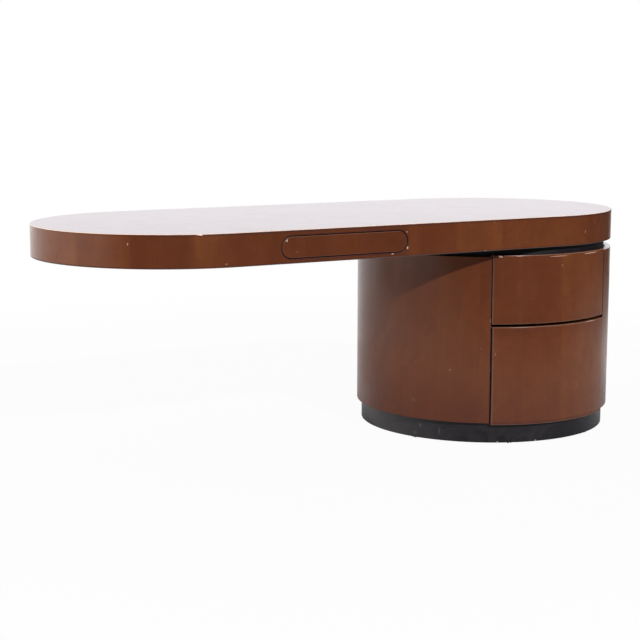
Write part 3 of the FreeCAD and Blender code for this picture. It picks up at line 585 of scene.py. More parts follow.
def scattered_nicks():
    """A few tiny nicks here and there."""
    tree, entry, result = shared_effect("scattered_nicks", ["Vector"], {"Spacing": 0.08, "Size": 0.0015},
                                        ["Nicks"])
    spacing = entry["Spacing"]
    place = vector_of(tree, "DIVIDE", entry["Vector"], joined(tree, spacing, spacing, spacing))
    points = add(tree, "ShaderNodeTexVoronoi", {"Vector": place, "Scale": 1.0}).outputs
    chance = add(tree, "ShaderNodeSeparateColor", {0: points["Color"]}).outputs[0]
    distance = times(tree, points["Distance"], spacing)
    size = times(tree, entry["Size"], sum_of(tree, "POWER", chance, 2.0))
    nick = spread(tree, sum_of(tree, "SUBTRACT", size, distance), 0.0, NICK_RIM)
    tree.links.new(nick, result["Nicks"])
    return tree


def soft_smears():
    """Uneven dulling of a finish by hands, cloths and dust."""
    tree, entry, result = shared_effect("soft_smears", ["Vector"], {"Size": 0.12}, ["Smears", "Ripple"])
    size = entry["Size"]
    place = vector_of(tree, "DIVIDE", entry["Vector"], joined(tree, size, size, size))
    smears = noise(tree, place, detail=5, roughness=0.62, distortion=1.2)[0]
    tree.links.new(spread(tree, smears, *SMEAR_RANGE), result["Smears"])
    ripple = noise(tree, scaled(tree, entry["Vector"], RIPPLE_FINENESS), detail=1)[0]
    tree.links.new(ripple, result["Ripple"])
    return tree


def opening_distance():
    """How far outside a round-ended outline in the front a point is."""
    tree, entry, result = shared_effect("opening_distance", ["Vector", "Centre"],
                                        {"Straight Half": 0.1, "Radius": 0.03}, ["Distance"])
    parts = split(tree, vector_of(tree, "SUBTRACT", entry["Vector"], entry["Centre"]))
    beyond = sum_of(tree, "SUBTRACT", sum_of(tree, "ABSOLUTE", parts["X"]), entry["Straight Half"])
    flat = joined(tree, sum_of(tree, "MAXIMUM", beyond, 0.0), parts["Z"])
    distance = sum_of(tree, "SUBTRACT", vector_of(tree, "LENGTH", flat), entry["Radius"])
    behind = sum_of(tree, "GREATER_THAN", parts["Y"], 0.0)
    tree.links.new(sum_of(tree, "ADD", distance, behind), result["Distance"])
    return tree


WOOD_GRAIN = wood_grain()
OPENING_DISTANCE = opening_distance()
SIDE_LENGTH = side_length()
VENEER_LEAVES = veneer_leaves()
EDGE_WEAR = edge_wear()
CHIP_OR_GLINT = chip_or_glint()
SCATTERED_NICKS = scattered_nicks()
SOFT_SMEARS = soft_smears()


# Finishes


def new_finish(name):
    """A new material, its tree, its shader, and the place of a point on the piece."""
    material = bpy.data.materials.new(name)
    material.use_nodes = True
    tree = material.node_tree
    shader = tree.nodes["Principled BSDF"]
    place = add(tree, "ShaderNodeTexCoord").outputs["Object"]
    return material, tree, shader, place


def dress(tree, shader, colour, rough):
    """Gives a shader its colour and its roughness."""
    tree.links.new(colour, shader.inputs["Base Color"])
    tree.links.new(rough, shader.inputs["Roughness"])


def turned(tree, place, turn, middle=0.0):
    """A place in the grain, which is centred on a middle and then turned."""
    inputs = {"Vector": place, "Location": (-middle, 0, 0), "Rotation": turn}
    return add(tree, "ShaderNodeMapping", inputs).outputs[0]


def linear(*levels):
    """A colour from its three levels on screen, 0 to 255, by the sRGB curve."""
    return tuple(((level / 255 + 0.055) / 1.055) ** 2.4 for level in levels) + (1.0,)


def bump(tree, shader, height, strength, distance):
    """Fine relief, by a pattern's height, how strongly it shows and how deep it is."""
    inputs = {"Height": height, "Strength": strength, "Distance": distance}
    tree.links.new(add(tree, "ShaderNodeBump", inputs).outputs[0], shader.inputs["Normal"])


DEEP_STAIN = linear(73, 35, 19)
STAIN = linear(93, 48.5, 26)
LIGHT_STAIN = linear(112, 64, 33)
# The pale of bare wood in chips and wear, also used for painted highlights and glints.
BARE_WOOD_AND_HIGHLIGHT = linear(230, 200, 180)
# The dark of painted shade in gaps and along edges, also used to darken the drum toward its foot.
PAINTED_SHADE_DARK = linear(52, 8, 3)
BLACK_PAINT = linear(17, 15, 21)
GREY_DUST = linear(84, 80, 80)
GREY_SCUFF = linear(170, 164, 158)

# The veneer's tone: the weights of what makes it up, its start, and where the three stains lie in it.
STREAK_WEIGHT = 0.06
FIGURE_WEIGHT = 0.12
MOTTLE_WEIGHT = 0.12
CLOUD_WEIGHT = 0.09
LEAF_WEIGHT = 0.36
TONE_START = 0.11
DEEP_AT, STAIN_AT, LIGHT_AT = 0.05, 0.5, 0.95
# How much pores and joints, dark lines of painted shade, rubbed edges and nicks count in its colour.
PORE_SHARE = 0.25
LINE_SHARE = 0.9
WORN_SHARE = 0.2
# How much pale marks and dark lines of painted shade dull the lacquer, and what makes its relief.
PALE_MARK_DULLING = 0.3
LINE_DULLING = 0.4
STREAK_RELIEF = 0.25
RIPPLE_RELIEF = 0.5
PALE_MARK_RELIEF = 1.5
LACQUER_DEPTH = 0.0004
LACQUER_IOR = 1.44

# Black paint: how much scuffs count in its colour, how far smears dull it, and where dust gathers.
SCUFF_SHARE = 0.4
SMEAR_DULLING = 0.15
DUSTY_FROM, DUSTY_TO = -0.36, 0.04
PAINT_IOR = 1.38

# Finishes of the inside: shares in the colour of timber, and what dulls steel and plastic.
PLAIN_STREAKS = 0.45
PLAIN_PORES = 0.3
PLAIN_SMEARS = 0.2
ROLLED_LENGTH = 40
ROLLED_DULLING = 0.06
STEEL_DULLING = 0.05
PLASTIC_GLOSS = 0.4
PLASTIC_DULLING = 0.2

# Dark lines of painted shade along edges and gaps: the distances from an edge where each fades out and where
# it is full.
LOW_LINE = (0.0060, 0.0020)
HIGH_LINE = (-0.0065, -0.0025)
RIM_LINE = (0.0050, 0.0016)
WALL_LINE = (0.0028, 0.0010)
FRONT_LINE = (-0.0022, -0.0008)
# The left end of the band, from where to where its upper line grows, and from and to how much.
LEFT_END = (-0.95, -0.65, 0.2, 1.0)
# Painted shade beside the gap between the drawers; the drum darker toward its foot, and darkest along its
# very edge.
GAP_SHADE = (0.05, 0.003, 0.0, 0.16)
FOOT_TOP = 0.26
FOOT_EDGE = 0.012
FOOT_EDGE_SHARE = 0.6
WALL_FOOT_SHARE = 0.36
DRAWER_FOOT_SHARE = 0.2

# Marks in the lacquer: where each is and how far it reaches, in millimetres, and how pale it is. Most are
# chips; the marks by the pencil drawer's ends, at the upper drawer's left corner and the long streaks along
# both drawers' top edges are painted highlights.
BAND_CHIPS_AND_GLINTS = [
    ((-690.5, -419.4, 735.1), (13, 10, 2.4), 1.0),
    ((-868.7, -325.4, 709.4), (2.4, 2.4, 3.8), 0.38),
    ((-615.5, -431.8, 649.6), (5, 4, 2), 0.15),
    # These three are painted glints beside the pencil drawer's right end.
    ((-63.8, -433, 649.5), (5.5, 4, 2.2), 0.41),
    ((-10.5, -433, 664.9), (2.8, 4, 5.2), 0.52),
    ((-13.3, -433, 713.1), (4, 4, 2.2), 0.3),
    ((685.2, -420.8, 681.1), (2.2, 4, 6), 0.21),
    ((310.9, -433, 727.5), (3.5, 4, 2.2), 0.11),
    ((278.4, -433, 640.3), (3.5, 4, 2.2), 0.3),
    ((740.8, -403.2, 706.6), (7, 5, 1.4), 0.09),
]
PENCIL_CHIPS_AND_GLINT = [
    # A painted glint on the pencil drawer's upper left end.
    ((-422.5, -433, 706), (2.4, 5, 3.6), 0.72),
    ((-390, -433, 673), (2, 4, 2), 0.12),
]
DRUM_CHIPS = [
    ((255.2, -282.9, 241.5), (3, 3, 2.8), 0.17),
    ((186.8, -174.7, 130), (6, 6, 2.2), 0.06),
    ((177.3, -151.4, 249.1), (2.8, 2.8, 2.8), 0.07),
    ((189.4, -180.4, 259.2), (2.8, 2.8, 2.8), 0.07),
    ((329.2, -350.8, 314.5), (2.6, 2.6, 2.6), 0.07),
    ((351.7, -366, 407.2), (2, 2, 8), 0.1),
    ((353.5, -367.5, 244.8), (2, 2, 6), 0.15),
]
UPPER_CHIPS_AND_HIGHLIGHTS = [
    ((583.9, -433, 578.5), (4.5, 4, 4), 0.08),
    ((476.2, -419.6, 476), (3, 3, 3), 0.04),
    # A painted glint at the upper drawer's left corner, then painted highlights along its top edge.
    ((376, -380, 613), (8.5, 7, 3.2), 1.0),
    ((569, -433, 608.5), (42, 30, 1.6), 0.3),
    ((719, -411, 609), (45, 40, 1.6), 0.45),
]
LOWER_CHIPS_AND_HIGHLIGHT = [
    ((364.4, -378.7, 297.7), (2.4, 2.4, 5), 0.1),
    ((655.9, -431.8, 176.9), (3, 3, 3), 0.06),
    # A painted highlight along the lower drawer's top edge.
    ((723, -415, 384), (35, 30, 1.4), 0.35),
]
PLINTH_CHIPS = [
    ((244.3, -243.3, 34), (3, 3, 15), 0.07),
    ((201, -167.2, 18), (9, 9, 7), 0.05),
    ((386.9, -368, 5.5), (3.5, 3.5, 3), 0.6),
    ((508.7, -410.3, 5.5), (3.5, 3.5, 3), 0.6),
    ((208.8, -184, 44.5), (5, 5, 8), 0.07),
]

# How many leaves of veneer lie left of the first joint, and the share of a leaf in which its tone fades.
FIRST_LEAF = 8.0
LEAF_FADE = 0.07


def metres(lengths):
    """Lengths in metres, from millimetres."""
    return [length / 1000 for length in lengths]


def chips_and_glints_of(tree, place, marks):
    """A mask of each of a piece's marks, chips and painted highlights alike."""
    chips = []
    for spot, reach, pale in marks:
        chip = use(tree, CHIP_OR_GLINT, Vector=place, Place=metres(spot), Reach=metres(reach))["Chip"]
        chips.append(times(tree, chip, pale))
    return chips


def apart(tree, value, middle):
    """How far a value is from a middle, either way."""
    return sum_of(tree, "ABSOLUTE", sum_of(tree, "SUBTRACT", value, middle))


def dark_line(tree, value, edge, reach):
    """A line that fades out at one distance from an edge and is full at another."""
    faint, full = reach
    return spread(tree, value, edge + faint, edge + full)


def band_lines(tree, place):
    """Painted shade in dark lines along both edges of the band, less at its left end, and round the pencil
    drawer.
    """
    parts = split(tree, place)
    low = dark_line(tree, parts["Z"], BAND_LOW.z, LOW_LINE)
    high = dark_line(tree, parts["Z"], BAND_HIGH.z, HIGH_LINE)
    high = times(tree, high, spread(tree, parts["X"], *LEFT_END))
    distance = use(tree, OPENING_DISTANCE, Vector=place, Centre=(PENCIL_X, 0, PENCIL_Z),
                   Straight_Half=PENCIL_STRAIGHT_HALF, Radius=PENCIL_RADIUS + PENCIL_GAP)["Distance"]
    return greatest(tree, low, high, dark_line(tree, distance, 0.0, RIM_LINE))


def drum_lines(tree, place):
    """Painted shade in dark lines on the drum's wall beside the drawers, and its darkened foot."""
    parts = split(tree, place)
    line = dark_line(tree, apart(tree, parts["X"], DRUM_X), OPENING_HALF, WALL_LINE)
    line = times(tree, line, sum_of(tree, "LESS_THAN", parts["Y"], 0.0))
    return greatest(tree, line, darkened_foot(tree, parts["Z"], WALL_FOOT_SHARE))


def drawer_lines(tree, place):
    """Painted shade at the ends of the drawer fronts and beside the gap between them, and their darkened
    foot.
    """
    parts = split(tree, place)
    ends = dark_line(tree, apart(tree, parts["X"], DRUM_X), FRONT_HALF, FRONT_LINE)
    from_gap = apart(tree, parts["Z"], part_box("lower_front")[1].z)
    painted_darkening = spread(tree, from_gap, *GAP_SHADE)
    return greatest(tree, ends, painted_darkening, darkened_foot(tree, parts["Z"], DRAWER_FOOT_SHARE))


def darkened_foot(tree, height, share):
    """The lowest part of the drum, darker, and darkest along its very edge."""
    broad = spread(tree, height, FOOT_TOP, SHELL_LOW.z, 0.0, share)
    edge = spread(tree, height, SHELL_LOW.z + FOOT_EDGE, SHELL_LOW.z, 0.0, FOOT_EDGE_SHARE)
    return greatest(tree, broad, edge)


def tone_of(tree, place, tones):
    """The tones of the leaves of veneer, as laid; a pair of tones is that of a leaf's two sides."""
    count = len(tones)
    turn = sum_of(tree, "ADD", sum_of(tree, "WRAP", place, count - FIRST_LEAF, -FIRST_LEAF), FIRST_LEAF)
    ramp = add(tree, "ShaderNodeValToRGB", {"Fac": sum_of(tree, "DIVIDE", turn, count)})
    stops = ramp.color_ramp.elements
    stops.remove(stops[1])
    for index, leaf in enumerate(tones):
        sides = leaf if isinstance(leaf, tuple) else (leaf, leaf)
        for step, tone in zip((LEAF_FADE, 1 - LEAF_FADE), sides):
            stops.new((index + step) / count).color = (tone, tone, tone, 1)
    stops.remove(stops[0])
    return ramp.outputs["Color"]


def stained_veneer(name, tones, turn=(0, 0, 0), middle=0.0, straight=0.0, radius=0.4, leaf=0.15, start=0.0,
                   marks=(), wear=0.3, pale_edge_and_highlight=0.1, polish=(0.17, 0.07), relief_strength=0.06, lines=None):
    """Reddish brown stained veneer under worn lacquer, with painted shade in its dark lines and painted
    highlights on its eased edges and some marks.
    """
    material, tree, shader, place = new_finish(name)
    grain_place = turned(tree, place, turn, middle)
    along = use(tree, SIDE_LENGTH, Vector=grain_place, Straight_Half=straight, Radius=radius)["Along"]
    leaves = use(tree, VENEER_LEAVES, Along=along, Leaf_Width=leaf, Start=start)
    shifted = vector_of(tree, "ADD", grain_place, leaves["Shift"])
    grain = use(tree, WOOD_GRAIN, Vector=shifted)
    smears = use(tree, SOFT_SMEARS, Vector=place)
    mottle = use(tree, SOFT_SMEARS, Vector=shifted, Size=0.22)["Smears"]
    clouds = use(tree, SOFT_SMEARS, Vector=shifted, Size=0.06)["Smears"]
    tone = weighed(tree, (grain["Streaks"], STREAK_WEIGHT), (grain["Figure"], FIGURE_WEIGHT),
                   (mottle, MOTTLE_WEIGHT), (clouds, CLOUD_WEIGHT),
                   (tone_of(tree, leaves["Place"], tones), LEAF_WEIGHT))
    ramp = add(tree, "ShaderNodeValToRGB", {"Fac": sum_of(tree, "ADD", tone, TONE_START)})
    stops = ramp.color_ramp.elements
    stops[0].position, stops[0].color = DEEP_AT, DEEP_STAIN
    stops[1].position, stops[1].color = LIGHT_AT, LIGHT_STAIN
    stops.new(STAIN_AT).color = STAIN
    colour = ramp.outputs["Color"]
    for darker in (grain["Pores"], leaves["Joint"]):
        colour = mixed(tree, times(tree, darker, PORE_SHARE), colour, DEEP_STAIN)
    # Painted shade: dark lines in gaps and along edges, with the darker foot, mixed over the veneer's colour.
    painted_darkening = lines(tree, place) if lines else None
    if painted_darkening:
        colour = mixed(tree, times(tree, painted_darkening, LINE_SHARE), colour, PAINTED_SHADE_DARK)
    edge = add(tree, "ShaderNodeAttribute", attribute_name="edge").outputs["Fac"]
    rubbed = use(tree, EDGE_WEAR, Vector=place, Edge=edge, Amount=wear)["Wear"]
    nicks = use(tree, SCATTERED_NICKS, Vector=place, Spacing=0.13, Size=0.0018)["Nicks"]
    # Eased edges are paled: partly wear, partly a painted highlight where the rounding catches light.
    worn_and_highlit_edge = weighed(tree, (edge, pale_edge_and_highlight), (rubbed, WORN_SHARE))
    pale_marks = greatest(tree, worn_and_highlit_edge, times(tree, nicks, WORN_SHARE), *chips_and_glints_of(tree, place, marks))
    colour = mixed(tree, pale_marks, colour, BARE_WOOD_AND_HIGHLIGHT)
    smoothest, dulling = polish
    gloss = added(tree, smears["Smears"], dulling, smoothest)
    gloss = added(tree, pale_marks, PALE_MARK_DULLING, gloss)
    if painted_darkening:
        deepest_painted_darkening = times(tree, painted_darkening, painted_darkening)
        gloss = added(tree, deepest_painted_darkening, LINE_DULLING, gloss)
    dress(tree, shader, colour, gloss)
    relief = weighed(tree, (smears["Ripple"], RIPPLE_RELIEF), (grain["Streaks"], STREAK_RELIEF))
    relief = sum_of(tree, "SUBTRACT", relief, times(tree, pale_marks, PALE_MARK_RELIEF))
    bump(tree, shader, relief, relief_strength, LACQUER_DEPTH)
    shader.inputs["IOR"].default_value = LACQUER_IOR
    return material


def black_lacquer(name, marks=(), dust=0.25, dusty_back=0.0, polish=0.42):
    """Black paint with grey scuffs and dust, more of it away from the drawers."""
    material, tree, shader, place = new_finish(name)
    smears = use(tree, SOFT_SMEARS, Vector=place, Size=0.09)
    nicks = use(tree, SCATTERED_NICKS, Vector=place, Spacing=0.05, Size=0.0025)["Nicks"]
    edge = add(tree, "ShaderNodeAttribute", attribute_name="edge").outputs["Fac"]
    rubbed = use(tree, EDGE_WEAR, Vector=place, Edge=edge, Amount=0.5)["Wear"]
    behind = spread(tree, split(tree, place)["Y"], DUSTY_FROM, DUSTY_TO, 0.0, dusty_back)
    veil = added(tree, smears["Smears"], dust, behind)
    colour = mixed(tree, veil, BLACK_PAINT, GREY_DUST)
    pale_marks = times(tree, greatest(tree, rubbed, nicks), SCUFF_SHARE)
    pale_marks = greatest(tree, pale_marks, *chips_and_glints_of(tree, place, marks))
    colour = mixed(tree, pale_marks, colour, GREY_SCUFF)
    dress(tree, shader, colour, added(tree, smears["Smears"], SMEAR_DULLING, polish))
    bump(tree, shader, smears["Ripple"], strength=0.1, distance=LACQUER_DEPTH)
    shader.inputs["IOR"].default_value = PAINT_IOR
    return material


def plain_wood(name, dark, light, turn=(0, 0, 0), gloss=0.5):
    """Unstained timber or plywood of the inside."""
    material, tree, shader, place = new_finish(name)
    grain_place = turned(tree, place, turn)
    grain = use(tree, WOOD_GRAIN, Vector=grain_place, Streak_Width=0.006, Streak_Length=0.3)
    smears = use(tree, SOFT_SMEARS, Vector=place, Size=0.2)
    tone = weighed(tree, (grain["Streaks"], PLAIN_STREAKS), (grain["Figure"], 1 - PLAIN_STREAKS))
    colour = mixed(tree, tone, dark, light)
    colour = mixed(tree, times(tree, grain["Pores"], PLAIN_PORES), colour, dark)
    colour = mixed(tree, times(tree, smears["Smears"], PLAIN_SMEARS), colour, dark, "MULTIPLY")
    dress(tree, shader, colour, added(tree, smears["Smears"], SMEAR_DULLING, gloss))
    bump(tree, shader, grain["Streaks"], strength=0.15, distance=0.0003)
    return material


def plain_metal(name, dull, bright, metallic, turn=(0, 0, 0), gloss=0.4, streak=0.002):
    """Steel, painted or plated, with streaks from its rolling."""
    material, tree, shader, place = new_finish(name)
    grain = use(tree, WOOD_GRAIN, Vector=turned(tree, place, turn), Streak_Width=streak,
                Streak_Length=streak * ROLLED_LENGTH)
    smears = use(tree, SOFT_SMEARS, Vector=place, Size=0.16)
    rough = added(tree, grain["Streaks"], ROLLED_DULLING, gloss)
    rough = added(tree, smears["Smears"], STEEL_DULLING, rough)
    dress(tree, shader, mixed(tree, smears["Smears"], bright, dull), rough)
    bump(tree, shader, grain["Streaks"], strength=0.03, distance=0.0002)
    shader.inputs["Metallic"].default_value = metallic
    return material


def moulded_plastic(name, dark, light):
    """Moulded plastic with a fine eggshell surface."""
    material, tree, shader, place = new_finish(name)
    smears = use(tree, SOFT_SMEARS, Vector=place, Size=0.02)
    rough = added(tree, smears["Smears"], PLASTIC_DULLING, PLASTIC_GLOSS)
    dress(tree, shader, mixed(tree, smears["Smears"], light, dark), rough)
    bump(tree, shader, smears["Ripple"], strength=0.1, distance=0.0002)
    return material


# Turns of the grain, which runs upright if it isn't turned.
LYING = (0, math.radians(90), 0)
FRONT_TO_BACK = (math.radians(90), 0, 0)

# Tones of the leaves from the first one on, and how the leaves are laid round the band and round the drum.
TOP_TONES = (0.5, 0.4, 0.55, 0.45, 0.6)
BAND_TONES = (0.95, 0.95, 0.65, 0.15, (1.1, 0.05), 0.0, 0.15, 0.0, 0.35, 0.75, 0.65, (0.85, 0.5), 0.35)
DRUM_TONES = (0.6, 0.5, 0.4, 0.5, 0.5, 0.45, 0.4, 0.4, 0.85, 0.8, 0.5)
ROUND_BAND = dict(tones=BAND_TONES, straight=BEND_X, radius=TOP_RADIUS, leaf=0.1755, start=-0.009)
ROUND_DRUM = dict(tones=DRUM_TONES, middle=DRUM_X, radius=DRUM_RADIUS, leaf=0.139, wear=0.4)

# The top's pale rim is partly wear and partly a painted highlight along its rounded edge.
TOP_FINISH = stained_veneer("stained_veneer_top", TOP_TONES, turn=LYING, leaf=0.22, wear=1.4, pale_edge_and_highlight=0.65,
                            polish=(0.17, 0.012), relief_strength=0.008)
BAND_FINISH = stained_veneer("stained_veneer_band", marks=BAND_CHIPS_AND_GLINTS, lines=band_lines, **ROUND_BAND)
PENCIL_FINISH = stained_veneer("stained_veneer_pencil_drawer", marks=PENCIL_CHIPS_AND_GLINT, pale_edge_and_highlight=0.02,
                               **ROUND_BAND)
DRUM_FINISH = stained_veneer("stained_veneer_drum", marks=DRUM_CHIPS, pale_edge_and_highlight=0.05, lines=drum_lines,
                             **ROUND_DRUM)
# The drawer fronts' pale eased edges are partly a painted highlight.
UPPER_FINISH = stained_veneer("stained_veneer_upper_drawer", marks=UPPER_CHIPS_AND_HIGHLIGHTS, pale_edge_and_highlight=0.08,
                              lines=drawer_lines, **ROUND_DRUM)
LOWER_FINISH = stained_veneer("stained_veneer_lower_drawer", marks=LOWER_CHIPS_AND_HIGHLIGHT, pale_edge_and_highlight=0.08,
                              lines=drawer_lines, **ROUND_DRUM)
PLINTH_FINISH = black_lacquer("black_lacquer_plinth", PLINTH_CHIPS, dust=0.1, dusty_back=0.4, polish=0.26)
COLLAR_FINISH = black_lacquer("black_lacquer_collar", dust=0.05)

# The darker and the lighter colour of each material of the inside.
PLYWOOD = linear(176, 140, 98), linear(208, 176, 132)
MAPLE = linear(190, 154, 108), linear(222, 192, 148)
STEEL_PAINT = linear(30, 30, 32), linear(44, 44, 46)
ZINC = linear(172, 172, 170), linear(198, 198, 196)
WHITE_NYLON = linear(196, 194, 186), linear(222, 220, 212)
DARK_PLASTIC = linear(34, 34, 36), linear(52, 52, 54)

UPRIGHT_PLYWOOD = plain_wood("birch_plywood_upright", *PLYWOOD, gloss=0.55)
MAPLE_ACROSS = plain_wood("maple_drawer_back", *MAPLE, turn=LYING, gloss=0.42)
INSIDE_FINISHES = {
    "stained_veneer": TOP_FINISH,
    "black_lacquer": COLLAR_FINISH,
    "plywood": plain_wood("birch_plywood", *PLYWOOD, turn=LYING, gloss=0.55),
    "drawer_wood": plain_wood("maple_drawer_wood", *MAPLE, turn=FRONT_TO_BACK, gloss=0.42),
    "frame_steel": plain_metal("frame_steel_paint", *STEEL_PAINT, metallic=0.0, gloss=0.48),
    "zinc_steel": plain_metal("zinc_steel_plate", *ZINC, metallic=1.0, turn=FRONT_TO_BACK, gloss=0.32,
                              streak=0.001),
    "nylon": moulded_plastic("white_nylon", *WHITE_NYLON),
    "latch_plastic": moulded_plastic("dark_latch_plastic", *DARK_PLASTIC),
}


# The pieces that show

finish_piece("veneered_top", top_skin(), "top_veneer", TOP_FINISH)
finish_piece("bent_band", bent_band(), "edge_band", BAND_FINISH)
finish_piece("pencil_drawer_face", pencil_face(), "pencil_front", PENCIL_FINISH)
finish_piece("veneered_drum", drum_wall(), "drum_shell", DRUM_FINISH)
finish_piece("upper_drawer_face", drawer_face("upper_front", out=0.0, grip_at_top=True),
             "upper_front", UPPER_FINISH)
finish_piece("lower_drawer_face", drawer_face("lower_front", out=LOWER_AJAR, grip_at_top=False),
             "lower_front", LOWER_FINISH)
finish_piece("black_collar", black_ring("collar_ring"), "collar_ring", COLLAR_FINISH)
finish_piece("black_plinth", black_ring("plinth_ring"), "plinth_ring", PLINTH_FINISH)

for solid in frame["nodes"].values():
    for holder in solid.material_slots:
        holder.material = INSIDE_FINISHES[holder.material.name.split(".")[0]]
for name in ("upper_back", "lower_back", "pencil_back"):
    frame["nodes"][name].material_slots[0].material = MAPLE_ACROSS
for name in ("bay_wall_left", "bay_wall_right", "cabinet_side_left", "cabinet_side_right"):
    frame["nodes"][name].material_slots[0].material = UPRIGHT_PLYWOOD
# The deck shows in the shadow line above the drum, so it is painted black like the collar, as painted shade
# for that line.
frame["nodes"]["drum_top_deck"].material_slots[0].material = COLLAR_FINISH

for board in ("side_left", "side_right", "back", "bottom"):
    for drawer in ("upper", "lower", "pencil"):
        solid = frame["nodes"][f"{drawer}_{board}"]
        solid.modifiers.new("closed_seams", "WELD").merge_threshold = HAIR
        eased = solid.modifiers.new("eased_edges", "BEVEL")
        eased.width = BOARD_ROUND
        eased.segments = 2
        eased.limit_method = "ANGLE"
        eased.angle_limit = SHARP


# Floor, light and camera

WHITE = (1, 1, 1, 1)

# The paper: its grey, how white the camera sees it, and where it turns clear round a middle.
PAPER_GREY = 0.48
PAPER_WHITE = 0.955
PAPER_MIDDLE = (0.2, 0.5, 0)
PAPER_FADE = (1.6, 3.4)
# Mirrored in lacquer it dims in front and to both sides: from where to where, and from and to how much.
DIM_FRONT = (-1.1, -2.6)
DIM_RIGHT = (2.0, 4.4, 0.0, 0.8)
DIM_LEFT = (-1.8, -3.4)
DIMMING = 0.4
# There it also glows toward the backdrop, in two steps.
GLOW_HEADING = 75
NEAR_GLOW = (0.1, 0.8, 0.0, 0.36)
FAR_GLOW = (2.6, 3.1, 0.0, 0.34)

# The room: which way its bright wall is, where that and the ceiling begin, and the level of each part.
WALL_HEADING = 118
WALL_RANGE = (-0.05, 0.40)
CEILING_RANGE = (0.3, 0.7)
WALL_LEVEL = 0.72
CEILING_LEVEL = 0.5
DARK_LEVEL = 0.06
ROOM_FILL = 0.1

# The lamps, and the camera's turns in degrees: down from level, sideways and about the upright.
KEY_DISTANCE = 4
KEY_SLOPE = 0.55
KEY_STRENGTH = 3.2
GLOW_PLACE = (1.0, 5.6, 1.5)
GLOW_POWER = 46
FILL_PLACE = (-4.26, 1.5, 1.1)
FILL_POWER = 125
CAMERA_DOWN = 8.8072
CAMERA_TILT = -0.0536
CAMERA_HEADING = -29.7181


def heading(angle):
    """A level direction, by its angle from +X in degrees."""
    return math.cos(math.radians(angle)), math.sin(math.radians(angle)), 0


def mirrored_rays(tree, paths):
    """Whether a place is seen in a polished surface."""
    return greatest(tree, paths["Is Glossy Ray"], paths["Is Transmission Ray"])


def floor_finish():
    """Pale studio paper that looks white, keeps a faint shadow and is clear at its rim and from beneath."""
    material = bpy.data.materials.new("studio_paper")
    material.use_nodes = True
    tree = material.node_tree
    tree.nodes.remove(tree.nodes["Principled BSDF"])
    paths = add(tree, "ShaderNodeLightPath").outputs
    place = add(tree, "ShaderNodeTexCoord").outputs["Object"]
    parts = split(tree, place)
    mirrored = mirrored_rays(tree, paths)
    front = spread(tree, parts["Y"], *DIM_FRONT)
    right = spread(tree, parts["X"], *DIM_RIGHT)
    left = spread(tree, parts["X"], *DIM_LEFT)
    dim = times(tree, greatest(tree, front, right, left), mirrored)
    grey = added(tree, dim, -DIMMING, PAPER_GREY)
    paper = add(tree, "ShaderNodeBsdfDiffuse", {"Color": grey}).outputs[0]
    white = add(tree, "ShaderNodeEmission", {"Color": WHITE}).outputs[0]
    toward = vector_of(tree, "DOT_PRODUCT", place, heading(GLOW_HEADING))
    near = spread(tree, toward, *NEAR_GLOW)
    far = spread(tree, toward, *FAR_GLOW)
    glow_share = times(tree, sum_of(tree, "ADD", near, far), mirrored)
    glow_share = sum_of(tree, "MAXIMUM", sum_of(tree, "SUBTRACT", glow_share, dim), 0.0)
    share = added(tree, paths["Is Camera Ray"], PAPER_WHITE, glow_share)
    lit = add(tree, "ShaderNodeMixShader", {0: share, 1: paper, 2: white}).outputs[0]
    from_middle = vector_of(tree, "LENGTH", vector_of(tree, "SUBTRACT", place, PAPER_MIDDLE))
    beneath = add(tree, "ShaderNodeNewGeometry").outputs["Backfacing"]
    rim = greatest(tree, spread(tree, from_middle, *PAPER_FADE), beneath)
    rim = times(tree, rim, paths["Is Camera Ray"])
    clear = add(tree, "ShaderNodeBsdfTransparent").outputs[0]
    faded = add(tree, "ShaderNodeMixShader", {0: rim, 1: lit, 2: clear}).outputs[0]
    tree.links.new(faded, tree.nodes["Material Output"].inputs["Surface"])
    return material


def studio_floor():
    """A round sheet of paper under the desk."""
    bm = bmesh.new()
    bmesh.ops.create_circle(bm, cap_ends=True, radius=5.0, segments=96)
    floor = new_object("studio_floor", bm, floor_finish())


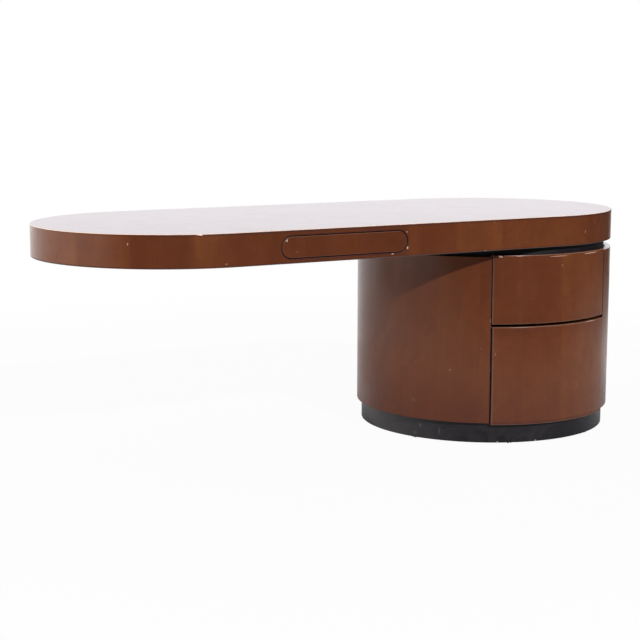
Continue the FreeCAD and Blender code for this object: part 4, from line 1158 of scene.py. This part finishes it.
def studio_room():
    """A white backdrop behind and to the left, and a darker room in front and to the right."""
    world = bpy.data.worlds.new("studio_room")
    world.use_nodes = True
    bpy.context.scene.world = world
    tree = world.node_tree
    toward = add(tree, "ShaderNodeTexCoord").outputs["Generated"]
    wall = spread(tree, vector_of(tree, "DOT_PRODUCT", toward, heading(WALL_HEADING)), *WALL_RANGE)
    ceiling = spread(tree, split(tree, toward)["Z"], *CEILING_RANGE)
    dim_ceiling = added(tree, ceiling, CEILING_LEVEL, DARK_LEVEL)
    room = greatest(tree, times(tree, wall, WALL_LEVEL), dim_ceiling)
    paths = add(tree, "ShaderNodeLightPath").outputs
    room = added(tree, paths["Is Diffuse Ray"], ROOM_FILL, room)
    seen = times(tree, greatest(tree, wall, ceiling), mirrored_rays(tree, paths))
    sky = tree.nodes["Background"]
    sky.inputs["Color"].default_value = WHITE
    tree.links.new(greatest(tree, room, seen, paths["Is Camera Ray"]), sky.inputs["Strength"])


def lamp(name, kind, place, target, energy, **settings):
    """A lamp that points at a place on the desk."""
    data = bpy.data.lights.new(name, kind)
    data.energy = energy
    for key, value in settings.items():
        setattr(data, key, value)
    light = bpy.data.objects.new(name, data)
    light.location = place
    light.rotation_euler = (Vector(target) - Vector(place)).to_track_quat("-Z", "Y").to_euler()
    bpy.context.scene.collection.objects.link(light)
    return light


def photograph_camera():
    """The camera at the photograph's place, with its field of view."""
    data = bpy.data.cameras.new("photograph_camera")
    data.sensor_width = 36
    data.lens = 83.0568
    camera = bpy.data.objects.new("photograph_camera", data)
    camera.location = (-2.43172, -4.14283, 1.13017)
    camera.rotation_euler = [math.radians(turn) for turn in (90 - CAMERA_DOWN, CAMERA_TILT, CAMERA_HEADING)]
    bpy.context.scene.collection.objects.link(camera)
    bpy.context.scene.camera = camera


studio_floor()
studio_room()
lamp("key_light", "SUN", (DRUM_X, -KEY_DISTANCE, KEY_DISTANCE * KEY_SLOPE), (DRUM_X, 0, 0), KEY_STRENGTH,
     angle=math.radians(2.2))
glow = lamp("backdrop_glow", "AREA", GLOW_PLACE, (0, 0, 0.9), GLOW_POWER, shape="RECTANGLE", size=11,
            size_y=2.6, color=(0.84, 0.84, 1.0))
glow.visible_camera = False
left_fill = lamp("left_fill", "AREA", FILL_PLACE, (0, 0, 0.5), FILL_POWER, shape="SQUARE", size=2)
left_fill.visible_camera = False
left_fill.visible_glossy = False
photograph_camera()
bpy.context.scene.view_settings.view_transform = "Standard"
